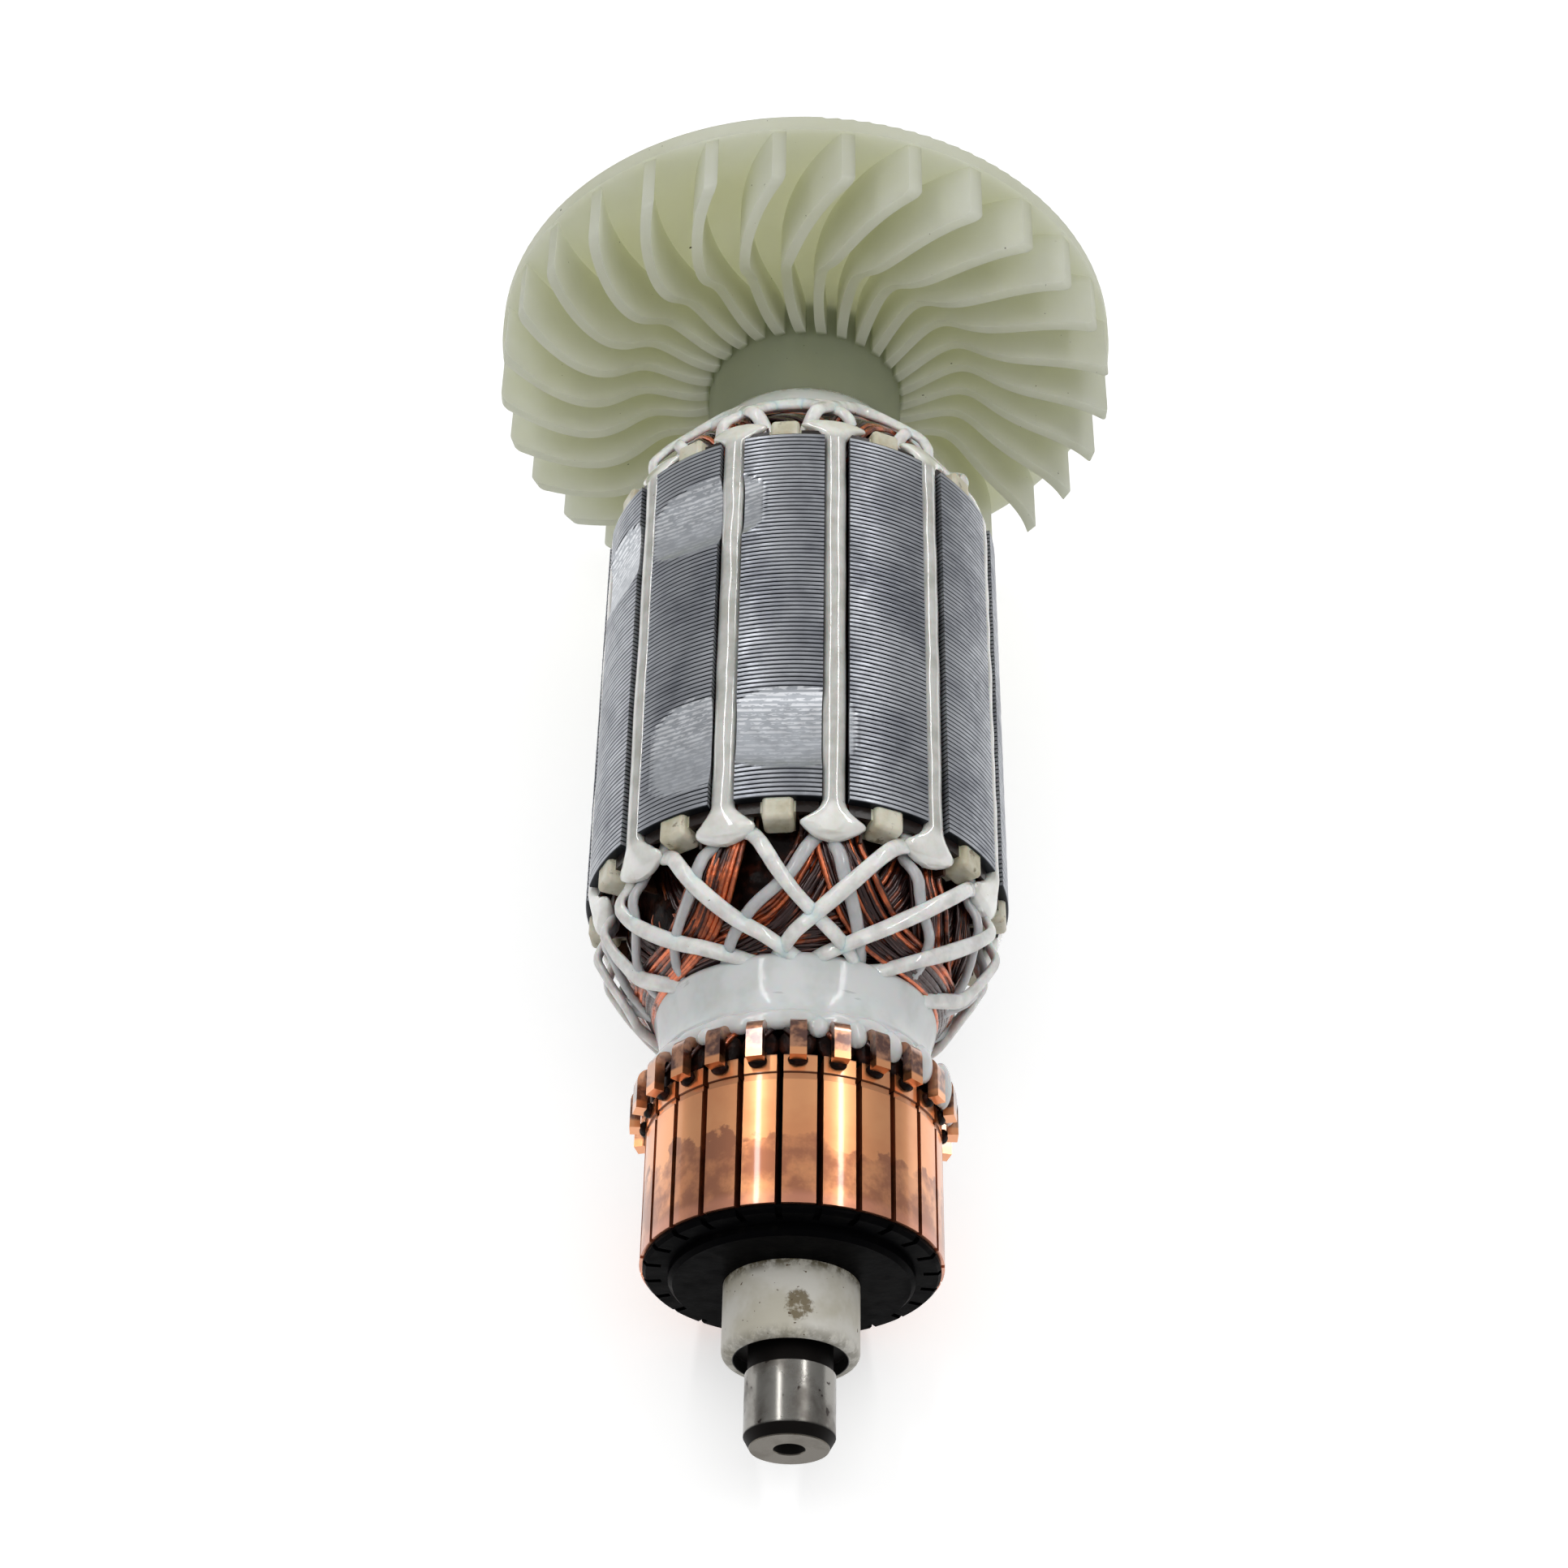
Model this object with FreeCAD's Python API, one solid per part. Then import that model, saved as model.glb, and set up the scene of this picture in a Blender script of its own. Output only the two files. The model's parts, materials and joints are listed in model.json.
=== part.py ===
import FreeCAD, Part
import math
import os

# Wound motor armature, lying at rest on its fan and the edge of its commutator.
# Every piece is drawn about the shaft first: Z runs along the shaft from the tip at the
# commutator end (Z = 0) to the drive end, and -Y is the side that ends up on top.
# All lengths are in millimetres and all angles in degrees.

os.makedirs("parts", exist_ok=True)
Vec = FreeCAD.Vector
axis = Vec(0, 0, 1)

# Shaft
tip_chamfer = 1.0
tip_chamfer_depth = 0.55
front_seat_radius = 4.0
front_seat_length = 5.55
neck_radius = 3.75
body_radius = 5.0
centre_hole_radius = 1.4
centre_hole_depth = 3.2
relief_depth = 0.25
relief_width = 0.8
drive_seat_length = 9.0
drive_seat_gap = 2.0
spigot_radius = 4.0
spigot_length = 13.0

# Insulating sleeve moulded over the shaft
sleeve_setback = 1.45
sleeve_wall = 1.1
sleeve_nose_length = 6.9
sleeve_mouth_depth = 1.2
sleeve_mouth_gap = 0.05
sleeve_rounding = 0.8

# Commutator
bar_count = 24
bar_length = 14.3
bar_thickness = 3.2
bar_slit = 0.6
bar_phase = 1.1
groove_from_end = 2.3
groove_width = 0.6
groove_depth = 0.15
hook_width = 1.5
hook_standoff = 1.5
hook_tab = 1.0
hook_setback = 0.2
hook_wire_gap = 0.7
hook_height = 3.3
hook_tip_overlap = 0.8
hook_phase = -1.0
hub_wall = 4.25
hub_gap = 0.05
hub_hook_gap = 0.65
hub_flange_thickness = 0.7
hub_disc_inset = 2.6
hub_disc_height = 1.0
hub_disc_rounding = 0.4
hub_rim_drop = 0.3
hub_notch_length = 1.6
hub_notch_depth = 0.45

# Laminated core
slot_count = 12
lamination_count = 88
lamination_pitch = 0.5034
core_radius = 20.5
tooth_phase = -6.5
tooth_width = 3.65
yoke_wall = 4.8
slot_opening = 2.58
lip_thickness = 0.9
lip_slope = 0.9

# Balance flats milled across the teeth: angle of the cutter, depth, start and length along the core
flat_length = 9.0
front_flat_start = 3.3
rear_flat_start = 30.8
front_flats = ((-6.5, 1.3), (-37.0, 1.25))
rear_flats = ((-33.0, 1.4), (-69.0, 1.0))

# Slot insulation
liner_thickness = 0.25
insulation_gap = 0.05
liner_cuff = 3.0
wedge_recess = 0.45
wedge_base_depth = 2.4
wedge_side_gap = 0.25
plate_thickness = 1.2
plate_inset = 0.9
block_width = 2.9
block_height = 2.9
block_inset = 0.3
block_reach = 2.2
block_rounding = 0.5

# Each wedge ends in a fishtail between the blocks. The shares say how far along it its wings
# lie, and how deep and how far along the hollow of each flank is
tail_thickness = 1.3
tail_plate_gap = 0.1
tail_block_gap = 0.25
tail_wing_place = 0.65
flank_hollow_out = 0.3
flank_hollow_along = 0.65

# Winding heads. The profile's sections are given by their share of the way along the head,
# their share of the drop from the core's surface to the nose, and the depth of the valleys
head_profile = ((0.0, 0.34, 1.0), (0.23, 0.34, 0.7), (0.63, 0.66, 0.6), (1.0, 1.0, 0.4))
head_bore_gap = 0.9
cuff_winding_gap = 0.2
front_head_length = 12.5
front_head_twist = 21.0
front_nose_inset = 0.2
rear_head_length = 10.4
rear_head_twist = 18.0
rear_nose_step = 2.7

# Resin collars
front_collar_length = 6.9
front_collar_gap = 0.15
front_collar_waist = 0.65
front_collar_waist_place = 0.6
rear_collar_length = 5.1
rear_collar_gap = 0.1
rear_collar_bulge = 0.3
collar_winding_gap = 0.1

# Lacing cord
cord_radius = 0.75
cord_gap = 0.25

# Cooling fan
fan_radius = 34.1
fan_disc_thickness = 2.2
fan_hub_radius = 10.6
fan_hub_length = 13.8
fan_hub_fillet = 3.2
fan_rim_rounding = 0.5

# Fan blades. The free edge is a curve through the heights over the disc that it has at
# the tip, at the root and at some shares of the way between them
blade_count = 30
blade_thickness = 1.1
blade_phase = 6.0
blade_tip_inset = 0.3
blade_tip_corner = 0.9
blade_tip_height = 7.2
blade_root_height = 5.7
blade_edge = ((0.25, 7.8), (0.44, 7.5), (0.56, 6.05), (0.68, 4.3), (0.83, 5.0))
blade_belly_place = 0.55
blade_belly_lag = 12.6
blade_root_lag = 9.3
blade_root_overlap = 1.0

# How far a cutting tool reaches past what it cuts
cut_margin = 1.0

# Sizes that follow from the ones above
slot_pitch = 360.0 / slot_count
bar_pitch = 360.0 / bar_count
blade_pitch = 360.0 / blade_count
slot_phase = tooth_phase + slot_pitch / 2
sleeve_radius = body_radius + sleeve_wall
hub_radius = sleeve_radius + hub_wall
bar_inner_radius = hub_radius + hub_gap
bar_radius = bar_inner_radius + bar_thickness
hub_disc_radius = bar_radius - hub_disc_inset
hook_inner = bar_radius - hook_setback - hook_tab
hook_radius = bar_radius + hook_standoff
lip_outer = core_radius - lip_thickness
lip_inner = lip_outer - lip_slope
slot_bottom_radius = sleeve_radius + yoke_wall
wedge_base_radius = core_radius - wedge_base_depth
tail_top = core_radius - wedge_recess
tail_bottom = tail_top - tail_thickness
tail_start = plate_thickness + tail_plate_gap
tail_end = liner_cuff + cuff_winding_gap
block_outer_radius = core_radius - block_inset
front_nose_radius = bar_radius - front_nose_inset
rear_nose_radius = fan_hub_radius + rear_nose_step
blade_tip_radius = fan_radius - blade_tip_inset

# Stations along the shaft, each from the one before it
front_seat_end = tip_chamfer + front_seat_length
sleeve_start = front_seat_end + sleeve_setback
hub_disc_face = sleeve_start + sleeve_nose_length
hub_flange_face = hub_disc_face + hub_disc_height
bar_start = hub_flange_face + hub_flange_thickness
bar_end = bar_start + bar_length
hook_tip = bar_end - hook_tip_overlap
hook_top = bar_end + hook_height
front_collar_start = hook_top + front_collar_gap
front_collar_end = front_collar_start + front_collar_length
core_start = front_collar_end + collar_winding_gap + front_head_length
core_end = core_start + lamination_count * lamination_pitch
rear_collar_start = core_end + rear_head_length + collar_winding_gap
rear_collar_end = rear_collar_start + rear_collar_length
fan_hub_start = rear_collar_end + rear_collar_gap
fan_disc_face = fan_hub_start + fan_hub_length
fan_back = fan_disc_face + fan_disc_thickness
drive_seat_start = fan_back + drive_seat_gap
spigot_start = drive_seat_start + drive_seat_length + relief_width
shaft_end = spigot_start + spigot_length


def polar(radius, angle, z=0.0):
    """A point at a radius from the shaft's axis; angle 0 is the top side, and it grows towards +X."""
    turn = math.radians(angle)
    return Vec(radius * math.sin(turn), -radius * math.cos(turn), z)


def turned(shape, angle):
    """A copy of a shape drawn at angle 0, turned about the shaft to the given angle."""
    copy = shape.copy()
    copy.rotate(Vec(0, 0, 0), axis, angle)
    return copy


def revolved(points):
    """A closed outline of (radius, z) points, turned right round the shaft."""
    corners = [Vec(radius, 0, z) for radius, z in points]
    face = Part.Face(Part.makePolygon(corners + corners[:1]))
    return face.revolve(Vec(0, 0, 0), axis, 360)


def tube(inner, outer, start, end):
    """A plain ring between two radii and two stations."""
    ring = Part.makeCylinder(outer, end - start, Vec(0, 0, start))
    return ring.cut(Part.makeCylinder(inner, end - start, Vec(0, 0, start)))


def prism(edges, start, end):
    """A flat outline of edges in the plane Z = 0, drawn out between two stations."""
    face = Part.Face(Part.Wire(edges))
    face.translate(Vec(0, 0, start))
    return face.extrude(Vec(0, 0, end - start))


def polyline(points):
    """The straight edges between points."""
    return [Part.LineSegment(a, b).toShape() for a, b in zip(points, points[1:])]


def round_edges(shape, radius, station, edge_radius):
    """Rounds the circular edges that lie at one station and have one radius."""
    chosen = []
    for edge in shape.Edges:
        if not isinstance(edge.Curve, Part.Circle):
            continue
        at_station = abs(edge.Curve.Center.z - station) < 1e-6
        if at_station and abs(edge.Curve.Radius - edge_radius) < 1e-6:
            chosen.append(edge)
    return shape.makeFillet(radius, chosen)


def make_shaft():
    """Turned steel: bearing seat, undercut neck, long body, drive bearing seat and spigot."""
    tip_radius = front_seat_radius - tip_chamfer_depth
    end_radius = spigot_radius - tip_chamfer_depth
    waist = body_radius - relief_depth
    points = [
        (0, 0),
        (tip_radius, 0),
        (front_seat_radius, tip_chamfer),
        (front_seat_radius, front_seat_end),
        (neck_radius, front_seat_end),
        (neck_radius, sleeve_start + sleeve_mouth_depth),
        (body_radius, sleeve_start + sleeve_mouth_depth),
        (body_radius, drive_seat_start - relief_width),
        (waist, drive_seat_start - relief_width),
        (waist, drive_seat_start),
        (body_radius, drive_seat_start),
        (body_radius, drive_seat_start + drive_seat_length),
        (spigot_radius - relief_depth, drive_seat_start + drive_seat_length),
        (spigot_radius - relief_depth, spigot_start),
        (spigot_radius, spigot_start),
        (spigot_radius, shaft_end - tip_chamfer),
        (end_radius, shaft_end),
        (0, shaft_end),
    ]
    shaft = revolved(points)
    for station, way in ((0, 1), (shaft_end, -1)):
        base = Vec(0, 0, station)
        hole = Part.makeCone(centre_hole_radius, 0, centre_hole_depth, base, Vec(0, 0, way))
        shaft = shaft.cut(hole)
    return shaft


def make_sleeve():
    """Plastic tube over the shaft, from its open mouth beside the front bearing to the fan."""
    sleeve = tube(body_radius, sleeve_radius, sleeve_start, rear_collar_end)
    mouth = Part.makeCylinder(body_radius + sleeve_mouth_gap, sleeve_mouth_depth, Vec(0, 0, sleeve_start))
    sleeve = sleeve.cut(mouth)
    return round_edges(sleeve, sleeve_rounding, sleeve_start, sleeve_radius)


def make_commutator_hub():
    """Moulded black body that the bars are keyed into, with a raised disc on its free face."""
    under_bar = bar_start - hub_gap
    over_bar = bar_end + hub_gap
    under_hook = hook_inner - hub_hook_gap
    rim = bar_radius - hub_rim_drop
    points = [
        (sleeve_radius, hub_disc_face),
        (hub_disc_radius - hub_disc_rounding, hub_disc_face),
        (hub_disc_radius, hub_disc_face + hub_disc_rounding),
        (hub_disc_radius, hub_flange_face),
        (rim - hub_rim_drop, hub_flange_face),
        (rim, hub_flange_face + hub_rim_drop),
        (rim, under_bar),
        (hub_radius, under_bar),
        (hub_radius, over_bar),
        (under_hook, over_bar),
        (under_hook, hook_top),
        (sleeve_radius, hook_top),
    ]
    # the saw that parts the bars leaves a notch in the flange at each slit
    corner = Vec(-bar_slit / 2, -rim, hub_flange_face)
    notch = Part.makeBox(bar_slit, hub_notch_length, hub_notch_depth, corner)
    first = bar_phase + bar_pitch / 2
    return revolved(points).cut([turned(notch, first + bar_pitch * k) for k in range(bar_count)])


def make_commutator_bar():
    """One copper bar: a sector with a turned groove, and a hook bent back over the wire."""
    sector = tube(bar_inner_radius, bar_radius, bar_start, bar_end)
    reach = bar_radius + cut_margin
    keep = Part.makeBox(reach, reach, bar_length, Vec(0, -reach, bar_start))
    # the bar is what lies between the two slits beside it
    shift = bar_slit / 2 * math.cos(math.radians(bar_pitch / 2))
    left = turned(keep, -bar_pitch / 2)
    left.translate(Vec(shift, 0, 0))
    right = turned(keep, bar_pitch / 2 - 90)
    right.translate(Vec(-shift, 0, 0))
    bar = sector.common(left).common(right)
    groove_start = bar_end - groove_from_end
    groove = tube(bar_radius - groove_depth, reach, groove_start, groove_start + groove_width)
    bar = bar.cut(groove)
    return bar.fuse(make_hook()).removeSplitter()


def make_hook():
    """The tang: up from the bar's end, round the wire and back down outside it."""
    tab_back = hook_inner + hook_tab
    tip_front = tab_back + hook_wire_gap
    middle = (hook_radius + hook_inner) / 2
    spring = hook_top - (hook_radius - hook_inner) / 2
    under_bend = spring + hook_wire_gap / 2
    foot = bar_end - hook_tab

    def at(radius, z):
        return Vec(0, -radius, z)

    outline = polyline([at(hook_inner, spring), at(hook_inner, foot)])
    outline += polyline([at(hook_inner, foot), at(tab_back, foot), at(tab_back, spring)])
    outline.append(Part.Arc(at(tab_back, spring), at(middle, under_bend), at(tip_front, spring)).toShape())
    outline += polyline([at(tip_front, spring), at(tip_front, hook_tip)])
    outline += polyline([at(tip_front, hook_tip), at(hook_radius, hook_tip), at(hook_radius, spring)])
    bend = Part.Arc(at(hook_radius, spring), at(middle, hook_top), at(hook_inner, spring))
    outline.append(bend.toShape())
    face = Part.Face(Part.Wire(outline))
    face.translate(Vec(-hook_width / 2, 0, 0))
    return turned(face.extrude(Vec(hook_width, 0, 0)), hook_phase)


def slot_half_width(radius, inset=0):
    """Half the width of a slot between parallel-sided teeth, where the insulation leaves it an inset."""
    half_pitch = math.radians(slot_pitch / 2)
    return radius * math.tan(half_pitch) - (tooth_width / 2 + inset) / math.cos(half_pitch)


def slot_outline(inset, top):
    """A winding slot at angle 0, shrunk by an inset and closed at a top radius below the lips."""
    bottom_half = slot_half_width(slot_bottom_radius, inset)
    top_half = slot_half_width(top, inset)
    left_top = Vec(-top_half, -top, 0)
    left_bottom = Vec(-bottom_half, -slot_bottom_radius, 0)
    right_bottom = Vec(bottom_half, -slot_bottom_radius, 0)
    right_top = Vec(top_half, -top, 0)
    lowest = Vec(0, -(slot_bottom_radius - bottom_half), 0)
    edges = polyline([left_top, left_bottom])
    edges.append(Part.Arc(left_bottom, lowest, right_bottom).toShape())
    edges += polyline([right_bottom, right_top, left_top])
    return edges


def slot_cutter(start, end):
    """The whole slot with its sloping lips and its opening, as a tool that cuts core and plates."""
    half_opening = slot_opening / 2
    half_slot = slot_half_width(lip_inner)
    outside = core_radius + cut_margin
    mouth = [
        Vec(-half_slot, -lip_inner, 0),
        Vec(-half_opening, -lip_outer, 0),
        Vec(-half_opening, -outside, 0),
        Vec(half_opening, -outside, 0),
        Vec(half_opening, -lip_outer, 0),
        Vec(half_slot, -lip_inner, 0),
        Vec(-half_slot, -lip_inner, 0),
    ]
    body = prism(slot_outline(0, lip_inner), start, end)
    return body.fuse(prism(polyline(mouth), start, end)).removeSplitter()


def make_lamination_stack():
    """The core: twelve parallel-sided teeth, with balance flats milled across some of them."""
    core = tube(sleeve_radius, core_radius, core_start, core_end)
    cutter = slot_cutter(core_start, core_end)
    core = core.cut([turned(cutter, slot_phase + slot_pitch * k) for k in range(slot_count)])
    for flats, offset in ((front_flats, front_flat_start), (rear_flats, rear_flat_start)):
        for angle, depth in flats:
            width = 2 * core_radius
            corner = Vec(-core_radius, -width - core_radius + depth, core_start + offset)
            mill = Part.makeBox(width, width, flat_length, corner)
            core = core.cut(turned(mill, angle))
    return core


def make_end_insulator(face, way):
    """Moulded plate against one end of the core, with a block that stands on every tooth."""
    start = min(face, face + way * plate_thickness)
    plate = tube(sleeve_radius, core_radius - plate_inset, start, start + plate_thickness)
    cutter = slot_cutter(start, start + plate_thickness)
    plate = plate.cut([turned(cutter, slot_phase + slot_pitch * k) for k in range(slot_count)])
    block_start = min(face, face + way * block_reach)
    corner = Vec(-block_width / 2, -block_outer_radius, block_start)
    block = Part.makeBox(block_width, block_height, block_reach, corner)
    free_edges = [edge for edge in block.Edges if abs(edge.CenterOfMass.z - face) > block_rounding]
    block = block.makeFillet(block_rounding, free_edges)
    blocks = [turned(block, tooth_phase + slot_pitch * k) for k in range(slot_count)]
    return plate.fuse(blocks).removeSplitter()


def make_slot_liner():
    """Folded paper channel along the slot's walls, open to the wedge, with a cuff at each end."""
    start = core_start - liner_cuff
    end = core_end + liner_cuff
    top = wedge_base_radius - insulation_gap
    outer = prism(slot_outline(insulation_gap, top), start, end)
    inner = prism(slot_outline(insulation_gap + liner_thickness, top + cut_margin), start, end)
    return outer.cut(inner)


def make_wedge_tail(face, way):
    """The wedge's flat fishtail beyond one end of the core: hollow flanks, two wings and a bowed end."""
    half_neck = slot_opening / 2 - insulation_gap
    beside_block = (block_width - tooth_width) / 2 + tail_block_gap
    half_tail = slot_half_width(tail_bottom, beside_block)
    wing = tail_start + (tail_end - tail_start) * tail_wing_place
    hollow_x = half_neck + (half_tail - half_neck) * flank_hollow_out
    hollow_reach = tail_start + (wing - tail_start) * flank_hollow_along

    def at(x, reach):
        return Vec(x, -tail_top, face + way * reach)

    edges = polyline([at(-half_neck, tail_start), at(-half_neck, 0)])
    edges += polyline([at(-half_neck, 0), at(half_neck, 0), at(half_neck, tail_start)])
    flank = Part.Arc(at(half_neck, tail_start), at(hollow_x, hollow_reach), at(half_tail, wing))
    end = Part.Arc(at(half_tail, wing), at(0, tail_end), at(-half_tail, wing))
    far_flank = Part.Arc(at(-half_tail, wing), at(-hollow_x, hollow_reach), at(-half_neck, tail_start))
    edges += [curve.toShape() for curve in (flank, end, far_flank)]
    return Part.Face(Part.Wire(edges)).extrude(Vec(0, tail_thickness, 0))


def make_slot_wedge():
    """Strip that closes the slot: a neck in the opening, a foot behind the lips, a fishtail at each end."""
    half_neck = slot_opening / 2 - insulation_gap
    half_foot = slot_half_width(lip_inner) - wedge_side_gap
    neck_bottom = lip_outer - 2 * insulation_gap
    slope = lip_slope / (half_foot + wedge_side_gap - slot_opening / 2)
    foot_top = neck_bottom - slope * (half_foot - half_neck)
    right = [
        (half_neck, core_radius - wedge_recess),
        (half_neck, neck_bottom),
        (half_foot, foot_top),
        (half_foot, wedge_base_radius),
    ]
    points = [Vec(x, -y, 0) for x, y in right] + [Vec(-x, -y, 0) for x, y in reversed(right)]
    strip = prism(polyline(points + points[:1]), core_start - tail_start, core_end + tail_start)
    tails = [make_wedge_tail(core_start, -1), make_wedge_tail(core_end, 1)]
    return strip.fuse(tails).removeSplitter()


def head_sections(length, nose_radius, twist):
    """The sections of a head: distance from the core, peak and valley radius, and lean of the bundles."""
    first = liner_cuff + cuff_winding_gap
    sections = []
    for along, down, valley_depth in head_profile:
        reach = first + (length - first) * along
        peak = core_radius - (core_radius - nose_radius) * down
        sections.append((reach, peak, peak - valley_depth, twist * along))
    return sections


def lobed_wire(z, peak, valley, twist):
    """A closed outline of outward arcs, one for each slot's bundle of wire."""
    edges = []
    for k in range(slot_count):
        centre = slot_phase + twist + slot_pitch * k
        start = polar(valley, centre - slot_pitch / 2, z)
        end = polar(valley, centre + slot_pitch / 2, z)
        edges.append(Part.Arc(start, polar(peak, centre, z), end).toShape())
    return Part.Wire(edges)


def make_winding_head(face, way, sections):
    """One end of the winding: bundles that lean round the shaft as they run to the nose."""
    wires = [lobed_wire(face + way * reach, peak, valley, twist) for reach, peak, valley, twist in sections]
    head = Part.makeLoft(wires, True, False)
    near = face + way * sections[0][0]
    far = face + way * sections[-1][0]
    bore_radius = sleeve_radius + head_bore_gap
    bore = Part.makeCylinder(bore_radius, abs(far - near), Vec(0, 0, min(near, far)))
    return head.cut(bore)


def make_winding():
    """All the copper as one mass: two heads joined by what fills the slots."""
    clear = 2 * insulation_gap + liner_thickness
    leg_top = wedge_base_radius - 2 * insulation_gap
    start = core_start - front_head[0][0]
    end = core_end + rear_head[0][0]
    leg = prism(slot_outline(clear, leg_top), start, end)
    legs = [turned(leg, slot_phase + slot_pitch * k) for k in range(slot_count)]
    front = make_winding_head(core_start, -1, front_head)
    rear = make_winding_head(core_end, 1, rear_head)
    return front.fuse(legs + [rear])


def make_collar(ends, middle):
    """A turned ring of resin on the sleeve, whose outer face is an arc through three (radius, z) points."""
    first, last = [Vec(radius, 0, z) for radius, z in ends]
    outline = [Part.Arc(first, Vec(middle[0], 0, middle[1]), last).toShape()]
    outline += polyline([last, Vec(sleeve_radius, 0, last.z), Vec(sleeve_radius, 0, first.z), first])
    return Part.Face(Part.Wire(outline)).revolve(Vec(0, 0, 0), axis, 360)


def make_front_collar():
    """White resin poured round the wires between the hooks and the winding's nose."""
    waist = front_collar_start + front_collar_length * front_collar_waist_place
    ends = ((bar_radius, front_collar_start), (front_nose_radius, front_collar_end))
    return make_collar(ends, (bar_radius - front_collar_waist, waist))


def make_rear_collar():
    """White resin between the winding's nose and the fan."""
    bulge = (rear_nose_radius + fan_hub_radius) / 2 + rear_collar_bulge
    ends = ((rear_nose_radius, rear_collar_start), (fan_hub_radius, rear_collar_end))
    return make_collar(ends, (bulge, (rear_collar_start + rear_collar_end) / 2))


def lacing_ring(face, way, section, next_section):
    """A turn of cord laid on the winding's slope halfway between two of its sections."""
    reach = (section[0] + next_section[0]) / 2
    surface = (section[1] + next_section[1]) / 2
    fall = math.atan2(section[1] - next_section[1], next_section[0] - section[0])
    lift = cord_radius + cord_gap
    radius = surface + lift * math.cos(fall)
    z = face + way * (reach + lift * math.sin(fall))
    return Part.makeTorus(radius, cord_radius, Vec(0, 0, z), axis)


def make_lacing(face, way, sections):
    """The cord that binds one end of the winding, as plain rings."""
    rings = [lacing_ring(face, way, a, b) for a, b in zip(sections, sections[1:])]
    return Part.makeCompound(rings)


def blade_radius(place):
    """The radius at a share of the way from a blade's tip to the fan's hub."""
    return blade_tip_radius + (fan_hub_radius - blade_tip_radius) * place


def blade_section():
    """A curved, backward-leaning blade seen along the shaft: a strip of even thickness."""
    tip = polar(blade_tip_radius, 0)
    belly = polar(blade_radius(blade_belly_place), -blade_belly_lag)
    root = polar(fan_hub_radius, -blade_root_lag)
    camber = Part.Arc(root, belly, tip).toShape().Curve
    centre = camber.Center
    start_angle = math.atan2(root.y - centre.y, root.x - centre.x)
    sweep = math.atan2(tip.y - centre.y, tip.x - centre.x) - start_angle
    # the shorter way round, run on past the tip so that the envelope trims it
    sweep = (sweep + math.pi) % (2 * math.pi) - math.pi
    sweep += math.copysign(cut_margin / camber.Radius, sweep)

    def on_camber(share, shift):
        angle = start_angle + sweep * share
        radius = camber.Radius + shift
        return centre + Vec(radius * math.cos(angle), radius * math.sin(angle), 0)

    half = blade_thickness / 2
    outer = [on_camber(share, half) for share in (0, 0.5, 1)]
    inner = [on_camber(share, -half) for share in (0, 0.5, 1)]
    edges = [Part.Arc(outer[0], outer[1], outer[2]).toShape()]
    edges += polyline([outer[2], inner[2]])
    edges.append(Part.Arc(inner[2], inner[1], inner[0]).toShape())
    edges += polyline([inner[0], outer[0]])
    return edges


def blade_envelope():
    """A turned ring that trims the blades: rounded tip corner, high shoulder and a scoop by the hub."""
    corner_radius = blade_tip_radius - blade_tip_corner
    tip_edge = fan_disc_face - blade_tip_height
    edge_points = [Vec(corner_radius, 0, tip_edge)]
    edge_points += [Vec(blade_radius(place), 0, fan_disc_face - height) for place, height in blade_edge]
    edge_points.append(Vec(fan_hub_radius - blade_root_overlap, 0, fan_disc_face - blade_root_height))
    free_edge = Part.BSplineCurve()
    free_edge.interpolate(edge_points)
    base = fan_disc_face + fan_disc_thickness / 2
    bow = blade_tip_corner * math.sqrt(0.5)
    middle = Vec(corner_radius + bow, 0, tip_edge + blade_tip_corner - bow)
    tip_end = Vec(blade_tip_radius, 0, tip_edge + blade_tip_corner)
    outline = [free_edge.toShape()]
    outline += polyline([edge_points[-1], Vec(edge_points[-1].x, 0, base), Vec(tip_end.x, 0, base), tip_end])
    outline.append(Part.Arc(tip_end, middle, edge_points[0]).toShape())
    return Part.Face(Part.Wire(outline)).revolve(Vec(0, 0, 0), axis, 360)


def make_fan():
    """Moulded fan: hub, disc and thirty curved blades whose edges share one turned profile."""
    disc = tube(body_radius, fan_radius, fan_disc_face, fan_back)
    disc = round_edges(disc, fan_rim_rounding, fan_back, fan_radius)
    flare = fan_hub_radius + fan_hub_fillet
    shoulder = fan_disc_face - fan_hub_fillet
    hub_edges = polyline([
        Vec(flare, 0, fan_disc_face),
        Vec(body_radius, 0, fan_disc_face),
        Vec(body_radius, 0, fan_hub_start),
        Vec(fan_hub_radius, 0, fan_hub_start),
        Vec(fan_hub_radius, 0, shoulder),
    ])
    bow = fan_hub_fillet * (1 - math.sqrt(0.5))
    middle = Vec(fan_hub_radius + bow, 0, fan_disc_face - bow)
    hub_curve = Part.Arc(Vec(fan_hub_radius, 0, shoulder), middle, Vec(flare, 0, fan_disc_face))
    hub_edges.append(hub_curve.toShape())
    hub = Part.Face(Part.Wire(hub_edges)).revolve(Vec(0, 0, 0), axis, 360)
    shoulder_height = max(height for place, height in blade_edge)
    blank = prism(blade_section(), fan_disc_face - shoulder_height - cut_margin, fan_back)
    blade = blank.common(blade_envelope())
    blades = [turned(blade, blade_phase + blade_pitch * k) for k in range(blade_count)]
    return disc.fuse([hub] + blades).removeSplitter()


front_head = head_sections(front_head_length, front_nose_radius, front_head_twist)
rear_head = head_sections(rear_head_length, rear_nose_radius, rear_head_twist)
cooling_fan = make_fan()

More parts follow.
